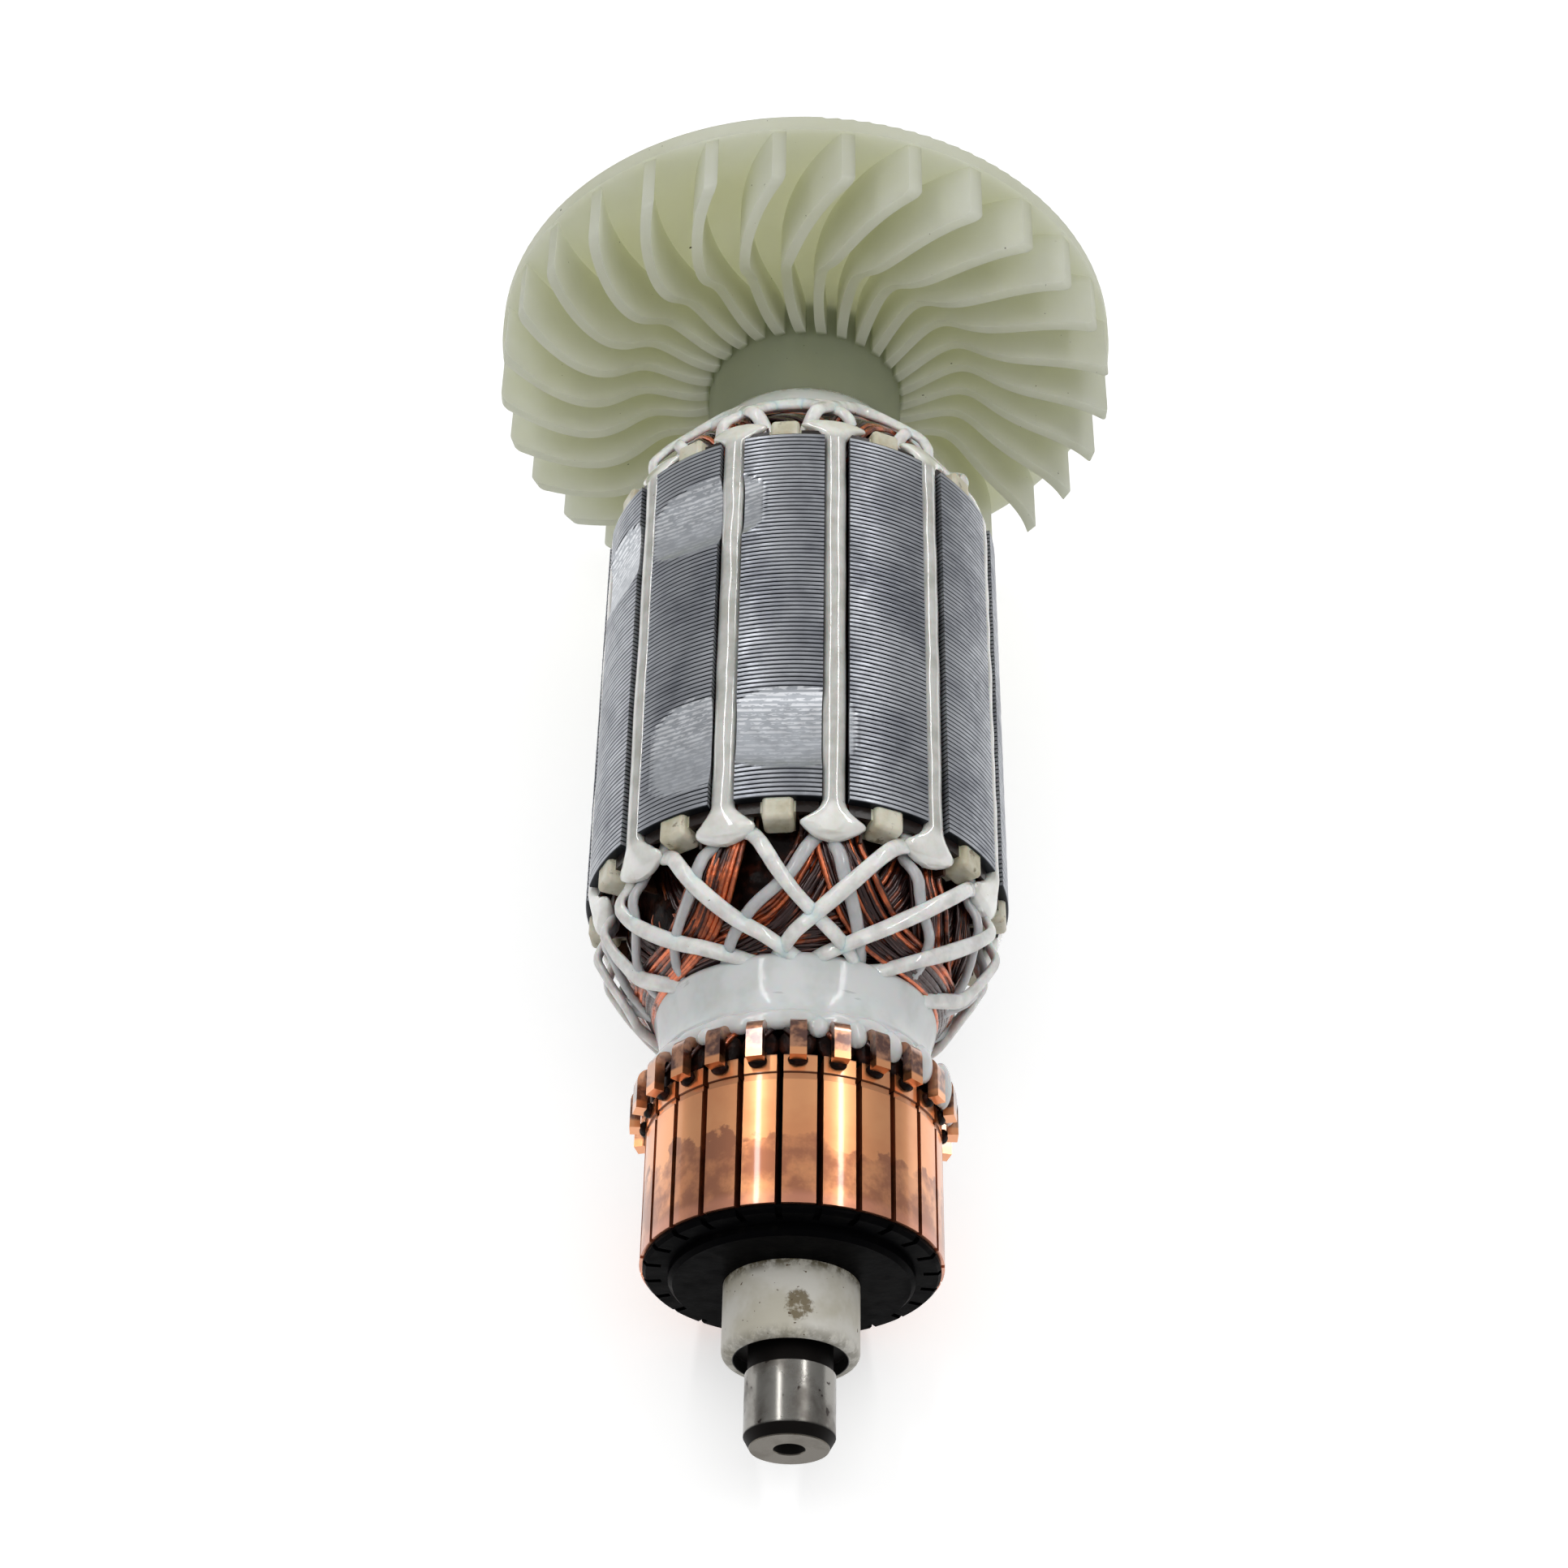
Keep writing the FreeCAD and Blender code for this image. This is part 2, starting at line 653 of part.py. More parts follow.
# The armature lies on two blade tips and the edge of the commutator's copper
tip_reach = max(vertex.Y for vertex in cooling_fan.Vertexes if vertex.Z < fan_disc_face)
support_rise = tip_reach - blade_tip_corner - bar_radius
support_run = fan_disc_face - blade_tip_height + blade_tip_corner - bar_start
corner_lift = math.asin(blade_tip_corner / math.hypot(support_rise, support_run))
lean = math.degrees(math.atan2(support_rise, support_run) + corner_lift)
lean_sin = math.sin(math.radians(lean))
lean_cos = math.cos(math.radians(lean))
low_edges = ((bar_radius, bar_start), (core_radius, core_start))
floor_drop = max(radius * lean_cos - z * lean_sin for radius, z in low_edges)
near_end = -(front_seat_radius - tip_chamfer_depth) * lean_sin
far_end = shaft_end * lean_cos + (spigot_radius - tip_chamfer_depth) * lean_sin
middle_of_length = (near_end + far_end) / 2


def place(shape):
    """Tips a shape from the shaft's own frame to where it lies, with the floor at Z = 0."""
    laid = shape.copy()
    laid.rotate(Vec(0, 0, 0), Vec(1, 0, 0), -(90 - lean))
    laid.translate(Vec(0, -middle_of_length, floor_drop))
    return laid


def export(name, shape):
    """Writes one piece to its own STEP file."""
    laid = place(shape)
    laid.exportStep("parts/" + name + ".step")
    print(name, "solids", len(laid.Solids), "valid", laid.isValid(), "volume", round(laid.Volume, 1))


export("shaft", make_shaft())
export("shaft_sleeve", make_sleeve())
export("commutator_hub", make_commutator_hub())
commutator_bar = make_commutator_bar()
for k in range(bar_count):
    export("commutator_bar_%02d" % (k + 1), turned(commutator_bar, bar_phase + bar_pitch * k))
export("lamination_stack", make_lamination_stack())
export("front_end_insulator", make_end_insulator(core_start, -1))
export("rear_end_insulator", make_end_insulator(core_end, 1))
export("armature_winding", make_winding())
slot_liner = make_slot_liner()
slot_wedge = make_slot_wedge()
for k in range(slot_count):
    angle = slot_phase + slot_pitch * k
    export("slot_liner_%02d" % (k + 1), turned(slot_liner, angle))
    export("slot_wedge_%02d" % (k + 1), turned(slot_wedge, angle))
export("front_resin_collar", make_front_collar())
export("rear_resin_collar", make_rear_collar())
export("front_lacing_cord", make_lacing(core_start, -1, front_head))
export("rear_lacing_cord", make_lacing(core_end, 1, rear_head))
export("cooling_fan", cooling_fan)
print("lean", round(lean, 3), "length", round(far_end - near_end, 2))
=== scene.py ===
import functools
import json
import math

import bmesh
import bpy
import numpy as np
from mathutils import Matrix, Vector
from mathutils.geometry import tessellate_polygon


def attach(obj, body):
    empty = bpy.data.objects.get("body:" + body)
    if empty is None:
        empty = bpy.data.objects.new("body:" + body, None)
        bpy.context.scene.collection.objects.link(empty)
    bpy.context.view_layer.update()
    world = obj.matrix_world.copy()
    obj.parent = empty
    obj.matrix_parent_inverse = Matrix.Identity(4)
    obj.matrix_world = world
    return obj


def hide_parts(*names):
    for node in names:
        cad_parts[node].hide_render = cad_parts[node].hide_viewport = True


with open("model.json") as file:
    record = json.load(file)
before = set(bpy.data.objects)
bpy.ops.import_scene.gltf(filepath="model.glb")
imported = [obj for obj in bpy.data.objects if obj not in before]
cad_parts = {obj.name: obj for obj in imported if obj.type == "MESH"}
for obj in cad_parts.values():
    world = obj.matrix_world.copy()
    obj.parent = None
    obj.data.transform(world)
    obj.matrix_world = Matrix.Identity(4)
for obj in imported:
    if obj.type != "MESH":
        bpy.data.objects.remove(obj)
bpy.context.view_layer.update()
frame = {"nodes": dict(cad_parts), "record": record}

# Motor armature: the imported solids, dressed with sheet edges, wire, cord and resin.
# Lengths are in millimetres, angles in degrees about the shaft: 0 on top, growing towards +X.
# A station is a distance along the shaft from its tip at the commutator end.

mm = 0.001

core = dict(start=53.85, end=98.15, radius=20.5, sheets=88, slots=12, slotPhase=8.5, bore=6.1)
commutator = dict(bars=24, hookPhase=0.1)
slotPitch = 360 / core["slots"]
barPitch = 360 / commutator["bars"]

# The shaft's line comes from the two bearing seats of the record
seats = {m["name"]: m for m in frame["record"]["mounts"]}
tipSeat = seats["commutator_end_bearing_seat"]
shaftWay = np.array(seats["drive_end_bearing_seat"]["axis"])
tipChamfer = 1.0
tipSeatMiddle = tipChamfer * mm + tipSeat["dims"]["length_mm"] / 2 * mm
shaftTip = np.array(tipSeat["pos_m"]) - shaftWay * tipSeatMiddle
sideWay = np.array([1.0, 0.0, 0.0])
topWay = np.array([0.0, -shaftWay[2], shaftWay[1]])
shaftTurn = (-math.acos(shaftWay[2]), 0.0, 0.0)


def toRow(radius, angle, station):
    # Row point = tip + station along the shaft + radius times (sin angle to the side, cos angle to the top)
    radius, angle, station = np.broadcast_arrays(radius, np.radians(angle), station)
    sideways = (radius * np.sin(angle))[..., None] * sideWay
    upwards = (radius * np.cos(angle))[..., None] * topWay
    return shaftTip + (sideways + upwards + station[..., None] * shaftWay) * mm


def smoothCurve(points, count):
    # Cubic through every point (Catmull-Rom), resampled at evenly spaced parameters
    points = np.asarray(points, float)
    padded = np.concatenate([2 * points[:1] - points[1:2], points, 2 * points[-1:] - points[-2:-1]])
    t = np.linspace(0, len(points) - 1, count)
    i = np.minimum(t.astype(int), len(points) - 2)
    u = (t - i).reshape((-1,) + (1,) * (points.ndim - 1))
    a, b, c, d = padded[i], padded[i + 1], padded[i + 2], padded[i + 3]
    return 0.5 * (2 * b + (c - a) * u + (2 * a - 5 * b + 4 * c - d) * u**2 + (3 * b - a - 3 * c + d) * u**3)


def waves(a, b, seed, scale):
    # Smooth uneven surface between about -1 and 1: the mean of a few crossed sine waves
    rng = np.random.default_rng(seed)
    total = 0.0
    for wave in range(6):
        turn = rng.uniform(0, 2 * math.pi)
        pitch = scale * rng.uniform(0.6, 1.8)
        total = total + np.sin((a * math.cos(turn) + b * math.sin(turn)) / pitch + rng.uniform(0, 6.3))
    return total / 3.5


def gridFaces(rows, columns, wrapRows, wrapColumns, first):
    # Quads between neighbouring rows and columns of a grid, joined up at a wrapped side
    i = np.arange(rows if wrapRows else rows - 1)[:, None]
    j = np.arange(columns if wrapColumns else columns - 1)[None, :]
    nextRow = (i + 1) % rows
    nextColumn = (j + 1) % columns
    corners = [i * columns + j, nextRow * columns + j,
               nextRow * columns + nextColumn, i * columns + nextColumn]
    return np.stack([np.broadcast_to(c, (i.size, j.size)) for c in corners], -1).reshape(-1, 4) + first


def makePiece(name, grids, material, nodes=(), values=None, extraFaces=(), smooth=True, capped=True):
    # One closed mesh from several grids; each is (its row points, whether its last row joins its first).
    # The columns always join up; a grid whose rows don't gets a flat cap on its first and last row.
    points, faces, caps, first = [], [], [], 0
    for grid, wrapRows in grids:
        rows, columns = grid.shape[:2]
        points.append(grid.reshape(-1, 3))
        faces.append(gridFaces(rows, columns, wrapRows, True, first))
        if capped and not wrapRows:
            caps.append(list(range(first, first + columns)))
            caps.append(list(range(first + (rows - 1) * columns, first + rows * columns)))
        first += rows * columns
    mesh = bpy.data.meshes.new(name)
    mesh.from_pydata(np.concatenate(points), [], np.concatenate(faces).tolist() + caps + list(extraFaces))
    # every face is turned to look away from the inside of its own closed surface
    work = bmesh.new()
    work.from_mesh(mesh)
    bmesh.ops.recalc_face_normals(work, faces=work.faces)
    work.to_mesh(mesh)
    work.free()
    mesh.polygons.foreach_set("use_smooth", np.full(len(mesh.polygons), smooth))
    if values is not None:
        layer = mesh.attributes.new("tone", "FLOAT", "POINT")
        layer.data.foreach_set("value", np.asarray(values, np.float32))
    mesh.materials.append(material)
    mesh.update()
    piece = bpy.data.objects.new(name, mesh)
    bpy.context.scene.collection.objects.link(piece)
    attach(piece, "root")
    if nodes:
        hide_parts(*nodes)


def tube(path, outward, halfWidth, halfHeight, sides):
    # Section = path + half width * cos turn along the surface + half height * sin turn outwards
    along = np.gradient(path, axis=-2)
    along /= np.linalg.norm(along, axis=-1, keepdims=True)
    across = np.cross(along, outward)
    across /= np.linalg.norm(across, axis=-1, keepdims=True)
    lift = np.cross(across, along)
    turn = np.linspace(0, 2 * math.pi, sides, endpoint=False)
    halfWidth = np.asarray(halfWidth) * mm
    halfHeight = np.asarray(halfHeight) * mm
    wide = across[..., None, :] * (np.cos(turn)[:, None] * halfWidth[..., None, None])
    tall = lift[..., None, :] * (np.sin(turn)[:, None] * halfHeight[..., None, None])
    return path[..., None, :] + wide + tall


def outwardAt(angle):
    # Direction away from the shaft at an angle
    angle = np.radians(angle)[..., None]
    return np.sin(angle) * sideWay + np.cos(angle) * topWay


print("stage: helpers ready")


# Camera: set where the photograph was taken from, in the shaft's own lines

view = dict(lens=61.02, sensor=36.0, aside=-3.81, above=218.27, station=-84.11, roll=1.891)
view["target"] = (-1.502, -7.707, 23.304)

eye = shaftTip + (view["aside"] * sideWay + view["above"] * topWay + view["station"] * shaftWay) * mm
cameraData = bpy.data.cameras.new("photo_camera")
cameraData.lens = view["lens"]
cameraData.sensor_width = view["sensor"]
cameraData.clip_start = 0.01
camera = bpy.data.objects.new("photo_camera", cameraData)
look = Vector(np.array(view["target"]) * mm - eye)
aim = look.to_track_quat("-Z", "Y").to_matrix().to_4x4()
rolled = Matrix.Rotation(math.radians(view["roll"]), 4, "Z")
camera.matrix_world = Matrix.Translation(Vector(eye)) @ aim @ rolled
bpy.context.scene.collection.objects.link(camera)
bpy.context.scene.camera = camera


# Materials

# The kinds of node: Blender's name, settings, the inputs in the order of the values, and the output taken.
# A kind that isn't here is an operation of the math node. A bump's distance is the height that 1 stands for.
nodeKinds = dict(
    mix=("ShaderNodeMix", dict(data_type="RGBA"), (0, 6, 7), 2),
    ramp=("ShaderNodeMapRange", dict(interpolation_type="SMOOTHSTEP"), (0, 1, 2, 3, 4), 0),
    noise=("ShaderNodeTexNoise", {}, ("Vector", "Scale", "Detail", "Roughness"), "Fac"),
    stretched=("ShaderNodeMapping", {}, ("Vector", "Scale"), 0),
    turned=("ShaderNodeMapping", dict(vector_type="TEXTURE"), ("Vector", "Location", "Rotation"), 0),
    ownPlace=("ShaderNodeTexCoord", {}, (), "Object"),
    direction=("ShaderNodeTexCoord", {}, (), "Generated"),
    xOf=("ShaderNodeSeparateXYZ", {}, (0,), 0),
    yOf=("ShaderNodeSeparateXYZ", {}, (0,), 1),
    zOf=("ShaderNodeSeparateXYZ", {}, (0,), 2),
    distance=("ShaderNodeVectorMath", dict(operation="DISTANCE"), (0, 1), "Value"),
    product=("ShaderNodeVectorMath", dict(operation="MULTIPLY"), (0, 1), 0),
    length=("ShaderNodeVectorMath", dict(operation="LENGTH"), (0,), "Value"),
    tone=("ShaderNodeAttribute", dict(attribute_name="tone"), (), "Fac"),
    bump=("ShaderNodeBump", {}, ("Height", "Distance"), 0),
    translucent=("ShaderNodeBsdfTranslucent", {}, ("Color",), 0),
    diffuse=("ShaderNodeBsdfDiffuse", {}, ("Color",), 0),
    emission=("ShaderNodeEmission", {}, ("Strength",), 0),
    bothShaders=("ShaderNodeAddShader", {}, (0, 1), 0),
    blendShaders=("ShaderNodeMixShader", {}, (0, 1, 2), 0),
    cameraRay=("ShaderNodeLightPath", {}, (), "Is Camera Ray"),
    glossyRay=("ShaderNodeLightPath", {}, (), "Is Glossy Ray"),
    transmissionRay=("ShaderNodeLightPath", {}, (), "Is Transmission Ray"),
)


def linearColour(hexText):
    # sRGB hex to linear: c / 12.92 up to 0.04045, and ((c + 0.055) / 1.055) to the power 2.4 above it
    channels = [int(hexText[i:i + 2], 16) / 255 for i in (1, 3, 5)]
    return [c / 12.92 if c <= 0.04045 else ((c + 0.055) / 1.055) ** 2.4 for c in channels] + [1.0]


def setInputs(node, inputs):
    # An input is linked where it is given a socket, gets a linear colour for hex text, or else the value
    for key, value in inputs.items():
        if isinstance(value, bpy.types.NodeSocket):
            node.id_data.links.new(value, node.inputs[key])
        else:
            node.inputs[key].default_value = linearColour(value) if isinstance(value, str) else value


def addNode(tree, kind, *values):
    # One node of a kind, with its settings and links; gives the output that the table names
    mathNode = ("ShaderNodeMath", dict(operation=kind), (0, 1, 2), 0)
    name, settings, keys, output = nodeKinds.get(kind, mathNode)
    node = tree.nodes.new(name)
    for key, value in settings.items():
        setattr(node, key, value)
    setInputs(node, dict(zip(keys, values)))
    return node.outputs[output]


def newMaterial(name):
    # A material, what adds nodes to it, its principled shader, and its place in the shaft's own lines:
    # (place - tip) turned back by the lean, so that z is the station
    material = bpy.data.materials.new(name)
    material.use_nodes = True
    add = functools.partial(addNode, material.node_tree)
    place = add("turned", add("ownPlace"), shaftTip, shaftTurn)
    return material, add, material.node_tree.nodes["Principled BSDF"], place


def noiseAt(add, place, size, detail=3.0, roughness=0.55, stretch=(1, 1, 1)):
    # Noise with blobs of about this size in millimetres: scale = 1 / size, place / stretch along each axis
    return add("noise", add("stretched", place, [1 / s for s in stretch]), 1 / (size * mm), detail, roughness)


def axisDistance(add, place):
    # Distance from the shaft's line: the length of (x, y, 0)
    return add("length", add("product", place, [1, 1, 0]))


def makeGroundSteel():
    # Ground carbon steel: bright, with fine lines round the shaft, grey patches of tarnish and dark specks
    material, add, shader, place = newMaterial("ground_steel")
    station = add("zOf", place)
    tarnish = add("ramp", noiseAt(add, place, 3.5, 4), 0.42, 0.68)
    specks = add("ramp", noiseAt(add, place, 0.9, 2), 0.66, 0.72)
    colour = add("mix", tarnish, "#8f8d88", "#605c57")
    colour = add("mix", specks, colour, "#3a3431")
    # oily black sits on the tip's chamfer and in the undercut beside the sleeve
    chamfer = add("ramp", station, 1.25 * mm, 0.95 * mm)
    face = add("ramp", station, 0.12 * mm, 0.02 * mm)
    neck = add("ramp", station, 6.5 * mm, 6.7 * mm)
    neckEnd = add("ramp", station, 12 * mm, 14 * mm, 1.0, 0.0)
    black = add("MAXIMUM", add("SUBTRACT", chamfer, face), add("MULTIPLY", neck, neckEnd))
    colour = add("mix", black, colour, "#1d1b1a")
    colour = add("mix", face, colour, "#5f594f")
    rough = add("MAXIMUM", add("ramp", tarnish, 0, 1, 0.22, 0.38), add("MULTIPLY", black, 0.6))
    grinding = noiseAt(add, place, 0.12, 2, stretch=(60, 60, 1))
    setInputs(shader, {"Base Color": colour, "Metallic": 1.0, "Roughness": rough,
                       "Normal": add("bump", grinding, 0.004 * mm)})
    return material


def makeSleevePlastic():
    # Moulded glass-filled polyester: matt cream with grey smudges, brown specks and one brown stain on top
    material, add, shader, place = newMaterial("sleeve_polyester")
    station = add("zOf", place)
    colour = add("mix", add("ramp", noiseAt(add, place, 5, 4), 0.4, 0.65), "#d3d0c7", "#c0bbab")
    blotches = noiseAt(add, place, 1.1, 4, 0.7)
    near = add("ramp", add("distance", place, [0.5 * mm, -6.1 * mm, 10.7 * mm]), 2.6 * mm, 0.7 * mm)
    ragged = noiseAt(add, place, 0.8, 4, 0.75)
    stain = add("MULTIPLY", add("ramp", add("MULTIPLY", near, ragged), 0.3, 0.48), 0.9)
    colour = add("mix", stain, colour, "#6b5c3c")
    # darker near the front lip, and painted shade where the sleeve goes in under the hub, both broken up by
    # the blotches
    lipDirt = add("MULTIPLY", add("ramp", station, 9.2 * mm, 8.0 * mm), 0.55)
    rootShade = add("ramp", station, 13.6 * mm, 14.9 * mm)
    dirt = add("MULTIPLY", add("MAXIMUM", lipDirt, rootShade), add("ramp", blotches, 0.35, 0.6))
    colour = add("mix", dirt, colour, "#5f563f")
    specks = add("ramp", noiseAt(add, place, 0.45, 1), 0.72, 0.76)
    colour = add("mix", specks, colour, "#5c4a34")
    bore = add("LESS_THAN", axisDistance(add, place), 5.12 * mm)
    colour = add("mix", bore, colour, "#151413")
    setInputs(shader, {"Base Color": colour, "Roughness": 0.5,
                       "Normal": add("bump", noiseAt(add, place, 1.4, 4), 0.05 * mm)})
    return material


def makePhenolic():
    # Moulded phenolic: black and dull from handling, with pale dust
    material, add, shader, place = newMaterial("black_phenolic")
    dust = add("ramp", noiseAt(add, place, 1.6, 5, 0.7), 0.5, 0.8)
    colour = add("mix", add("MULTIPLY", dust, 0.3), "#050506", "#1c1a17")
    rough = add("ramp", noiseAt(add, place, 2.5, 3), 0.3, 0.7, 0.28, 0.5)
    setInputs(shader, {"Base Color": colour, "Roughness": rough, "Specular IOR Level": 0.01,
                       "Normal": add("bump", noiseAt(add, place, 0.9, 3), 0.03 * mm)})
    return material


def makeCommutatorCopper():
    # Turned copper: bright orange, brown where the brushes and the heat have stained it, hooks under varnish
    material, add, shader, place = newMaterial("turned_copper")
    station = add("zOf", place)
    broad = add("ramp", noiseAt(add, place, 5.5, 4, 0.6), 0.38, 0.66)
    colour = add("mix", broad, "#f4a972", "#ec9d68")
    # the stain's upper edge wanders between stations 20 and 25
    edge = add("MULTIPLY_ADD", noiseAt(add, place, 6.5, 5, 0.6), 13 * mm, 16.6 * mm)
    below = add("ramp", add("SUBTRACT", station, edge), 0.25 * mm, -0.25 * mm)
    patches = add("ramp", noiseAt(add, place, 3.2, 4, 0.6), 0.36, 0.6)
    stain = add("MULTIPLY", below, add("MULTIPLY_ADD", patches, 0.65, 0.25))
    colour = add("mix", stain, colour, "#9d6043")
    footRub = add("ramp", station, 18.2 * mm, 17.0 * mm, 0.0, 0.55)
    colour = add("mix", footRub, colour, "#dc9478")
    groove = add("COMPARE", station, 28.8 * mm, 0.34 * mm)
    colour = add("mix", add("MULTIPLY", groove, 0.4), colour, "#8a5636")
    grooveEdge = add("COMPARE", station, 29.2 * mm, 0.07 * mm)
    colour = add("mix", add("MULTIPLY", grooveEdge, 0.8), colour, "#42200f")
    # varnish above the bars, and a film of resin on the very tops of the hooks
    hooks = add("ramp", station, 30.7 * mm, 31.0 * mm)
    varnish = add("mix", add("ramp", noiseAt(add, place, 1.5, 3), 0.4, 0.62), "#c08560", "#5a2a18")
    colour = add("mix", hooks, colour, varnish)
    film = add("MULTIPLY", add("ramp", station, 33.2 * mm, 34.0 * mm),
               add("ramp", noiseAt(add, place, 1.5, 2), 0.35, 0.6))
    colour = add("mix", film, colour, "#b98d72")
    # rubbed bright on its ridges: a thin sharp sheen over the duller ground of the metal
    turning = noiseAt(add, place, 0.16, 2, stretch=(50, 50, 1))
    setInputs(shader, {"Base Color": colour, "Metallic": 0.95,
                       "Roughness": add("ramp", stain, 0, 0.8, 0.29, 0.37),
                       "Coat Weight": add("MULTIPLY_ADD", hooks, 0.4, 0.6), "Coat Roughness": 0.08,
                       "Coat IOR": 1.8, "Normal": add("bump", turning, 0.004 * mm)})
    return material


def makeSheetSteel():
    # Edges of punched silicon steel sheets under clear varnish: blue grey, darker in the joints
    material, add, shader, place = newMaterial("silicon_steel_edges")
    station = add("zOf", place)
    tone = add("tone")
    colour = add("mix", add("ramp", noiseAt(add, place, 7, 3), 0.35, 0.7), "#afb2b8", "#8a8d95")
    dashes = add("ramp", noiseAt(add, place, 0.5, 3, 0.6, stretch=(5, 5, 1)), 0.5, 0.72)
    colour = add("mix", add("MULTIPLY", dashes, 0.35), colour, "#c4c8ce")
    # tone 0 is a joint, 0.5 a sheet's edge, and 1 a milled flat
    colour = add("mix", add("ramp", tone, 0.46, 0.16), colour, "#202328")
    milled = add("ramp", tone, 0.6, 0.9)
    # the cutter chattered, most over the fan-side half of each flat: a broken bright line on every sheet
    pitch = (core["end"] - core["start"]) / core["sheets"] * mm
    fromJoint = add("SUBTRACT", station, core["start"] * mm)
    line = add("ramp", add("PINGPONG", fromJoint, pitch / 2), pitch * 0.12, pitch * 0.3)
    broken = add("ramp", noiseAt(add, place, 0.3, 2, 0.6, stretch=(3, 3, 1)), 0.42, 0.52)
    frontHalf = add("SUBTRACT", add("ramp", station, 59.5 * mm, 63.5 * mm),
                    add("ramp", station, 70 * mm, 75 * mm))
    rearHalf = add("ramp", station, 87.5 * mm, 91 * mm)
    strength = add("MULTIPLY_ADD", add("ADD", frontHalf, rearHalf), 0.65, 0.35)
    chatter = add("MULTIPLY", strength, add("MULTIPLY", line, broken))
    colour = add("mix", milled, colour, add("mix", chatter, "#b2b6bc", "#e4e6ea"))
    rough = add("ramp", noiseAt(add, place, 1.2, 3), 0.3, 0.7, 0.3, 0.48)
    drawn = noiseAt(add, place, 0.35, 3, stretch=(8, 8, 1))
    setInputs(shader, {"Base Color": colour, "Metallic": 0.85, "Roughness": rough,
                       "Normal": add("bump", drawn, 0.02 * mm)})
    return material


def makeInsulatorPlastic():
    # Moulded polyester under resin: cream, half gloss, brown dirt in its corners
    material, add, shader, place = newMaterial("cream_polyester")
    colour = add("mix", add("ramp", noiseAt(add, place, 3, 4), 0.4, 0.65), "#d8d4c2", "#bdb69b")
    dirt = add("ramp", noiseAt(add, place, 1.3, 4, 0.7), 0.58, 0.7)
    colour = add("mix", add("MULTIPLY", dirt, 0.8), colour, "#6b5b3c")
    # painted shade: the plate beside each block is coloured near black, from 4.5 degrees off the nearest
    # tooth's middle on
    angle = add("ARCTAN2", add("xOf", place), add("MULTIPLY", add("yOf", place), -1.0))
    fromSlot = add("ADD", angle, math.radians(slotPitch / 2 - core["slotPhase"]))
    toTooth = add("PINGPONG", fromSlot, math.radians(slotPitch / 2))
    shadeBesideBlock = add("ramp", toTooth, math.radians(4.5), math.radians(4.9))
    colour = add("mix", shadeBesideBlock, colour, "#1d1410")
    setInputs(shader, {"Base Color": colour, "Roughness": 0.32, "Subsurface Weight": 0.25,
                       "Subsurface Scale": 0.8 * mm,
                       "Normal": add("bump", noiseAt(add, place, 1.1, 3), 0.08 * mm)})
    return material


def makeWhiteResin():
    # Cast epoxy with white filler: smooth, wet looking, a little see-through at thin edges
    material, add, shader, place = newMaterial("white_epoxy")
    colour = add("mix", add("ramp", noiseAt(add, place, 4, 3), 0.4, 0.68), "#dadcdc", "#cbcecc")
    marks = add("ramp", noiseAt(add, place, 0.8, 3, stretch=(4, 4, 1)), 0.68, 0.74)
    colour = add("mix", add("MULTIPLY", marks, 0.35), colour, "#8f9092")
    # brown dust has settled where the collar meets the fan's hub
    seam = add("MULTIPLY", add("ramp", add("zOf", place), 112.4 * mm, 113.7 * mm),
               add("ramp", noiseAt(add, place, 0.9, 4, 0.7), 0.4, 0.6))
    colour = add("mix", add("MULTIPLY", seam, 0.8), colour, "#75664a")
    setInputs(shader, {"Base Color": colour, "Roughness": 0.1, "Specular IOR Level": 0.35,
                       "Subsurface Weight": 0.35, "Subsurface Scale": 1.2 * mm,
                       "Normal": add("bump", noiseAt(add, place, 2.6, 2), 0.05 * mm)})
    return material


def makeStripResin():
    # Insulating paper strip soaked in resin: off white, glossy and lumpy, with brown specks
    material, add, shader, place = newMaterial("resin_soaked_strip")
    # tone 0 is the strip between the teeth, greyed by handling, and 1 is its white fishtail
    uneven = add("ramp", noiseAt(add, place, 2.5, 4), 0.35, 0.7)
    grey = add("mix", uneven, "#cfcfca", "#b3b3ab")
    white = add("mix", uneven, "#f3f3ef", "#e0dfd6")
    colour = add("mix", add("tone"), grey, white)
    specks = add("ramp", noiseAt(add, place, 0.8, 3, 0.7), 0.71, 0.75)
    colour = add("mix", specks, colour, "#7a6548")
    setInputs(shader, {"Base Color": colour, "Roughness": 0.2, "Coat Weight": 1.0, "Coat Roughness": 0.05,
                       "Coat IOR": 1.9, "Subsurface Weight": 0.25, "Subsurface Scale": 0.8 * mm,
                       "Normal": add("bump", noiseAt(add, place, 1.2, 2), 0.05 * mm)})
    return material


# what the mesh adds to the tone of the cord's under layer, so that its material knows it
underTone = 1000


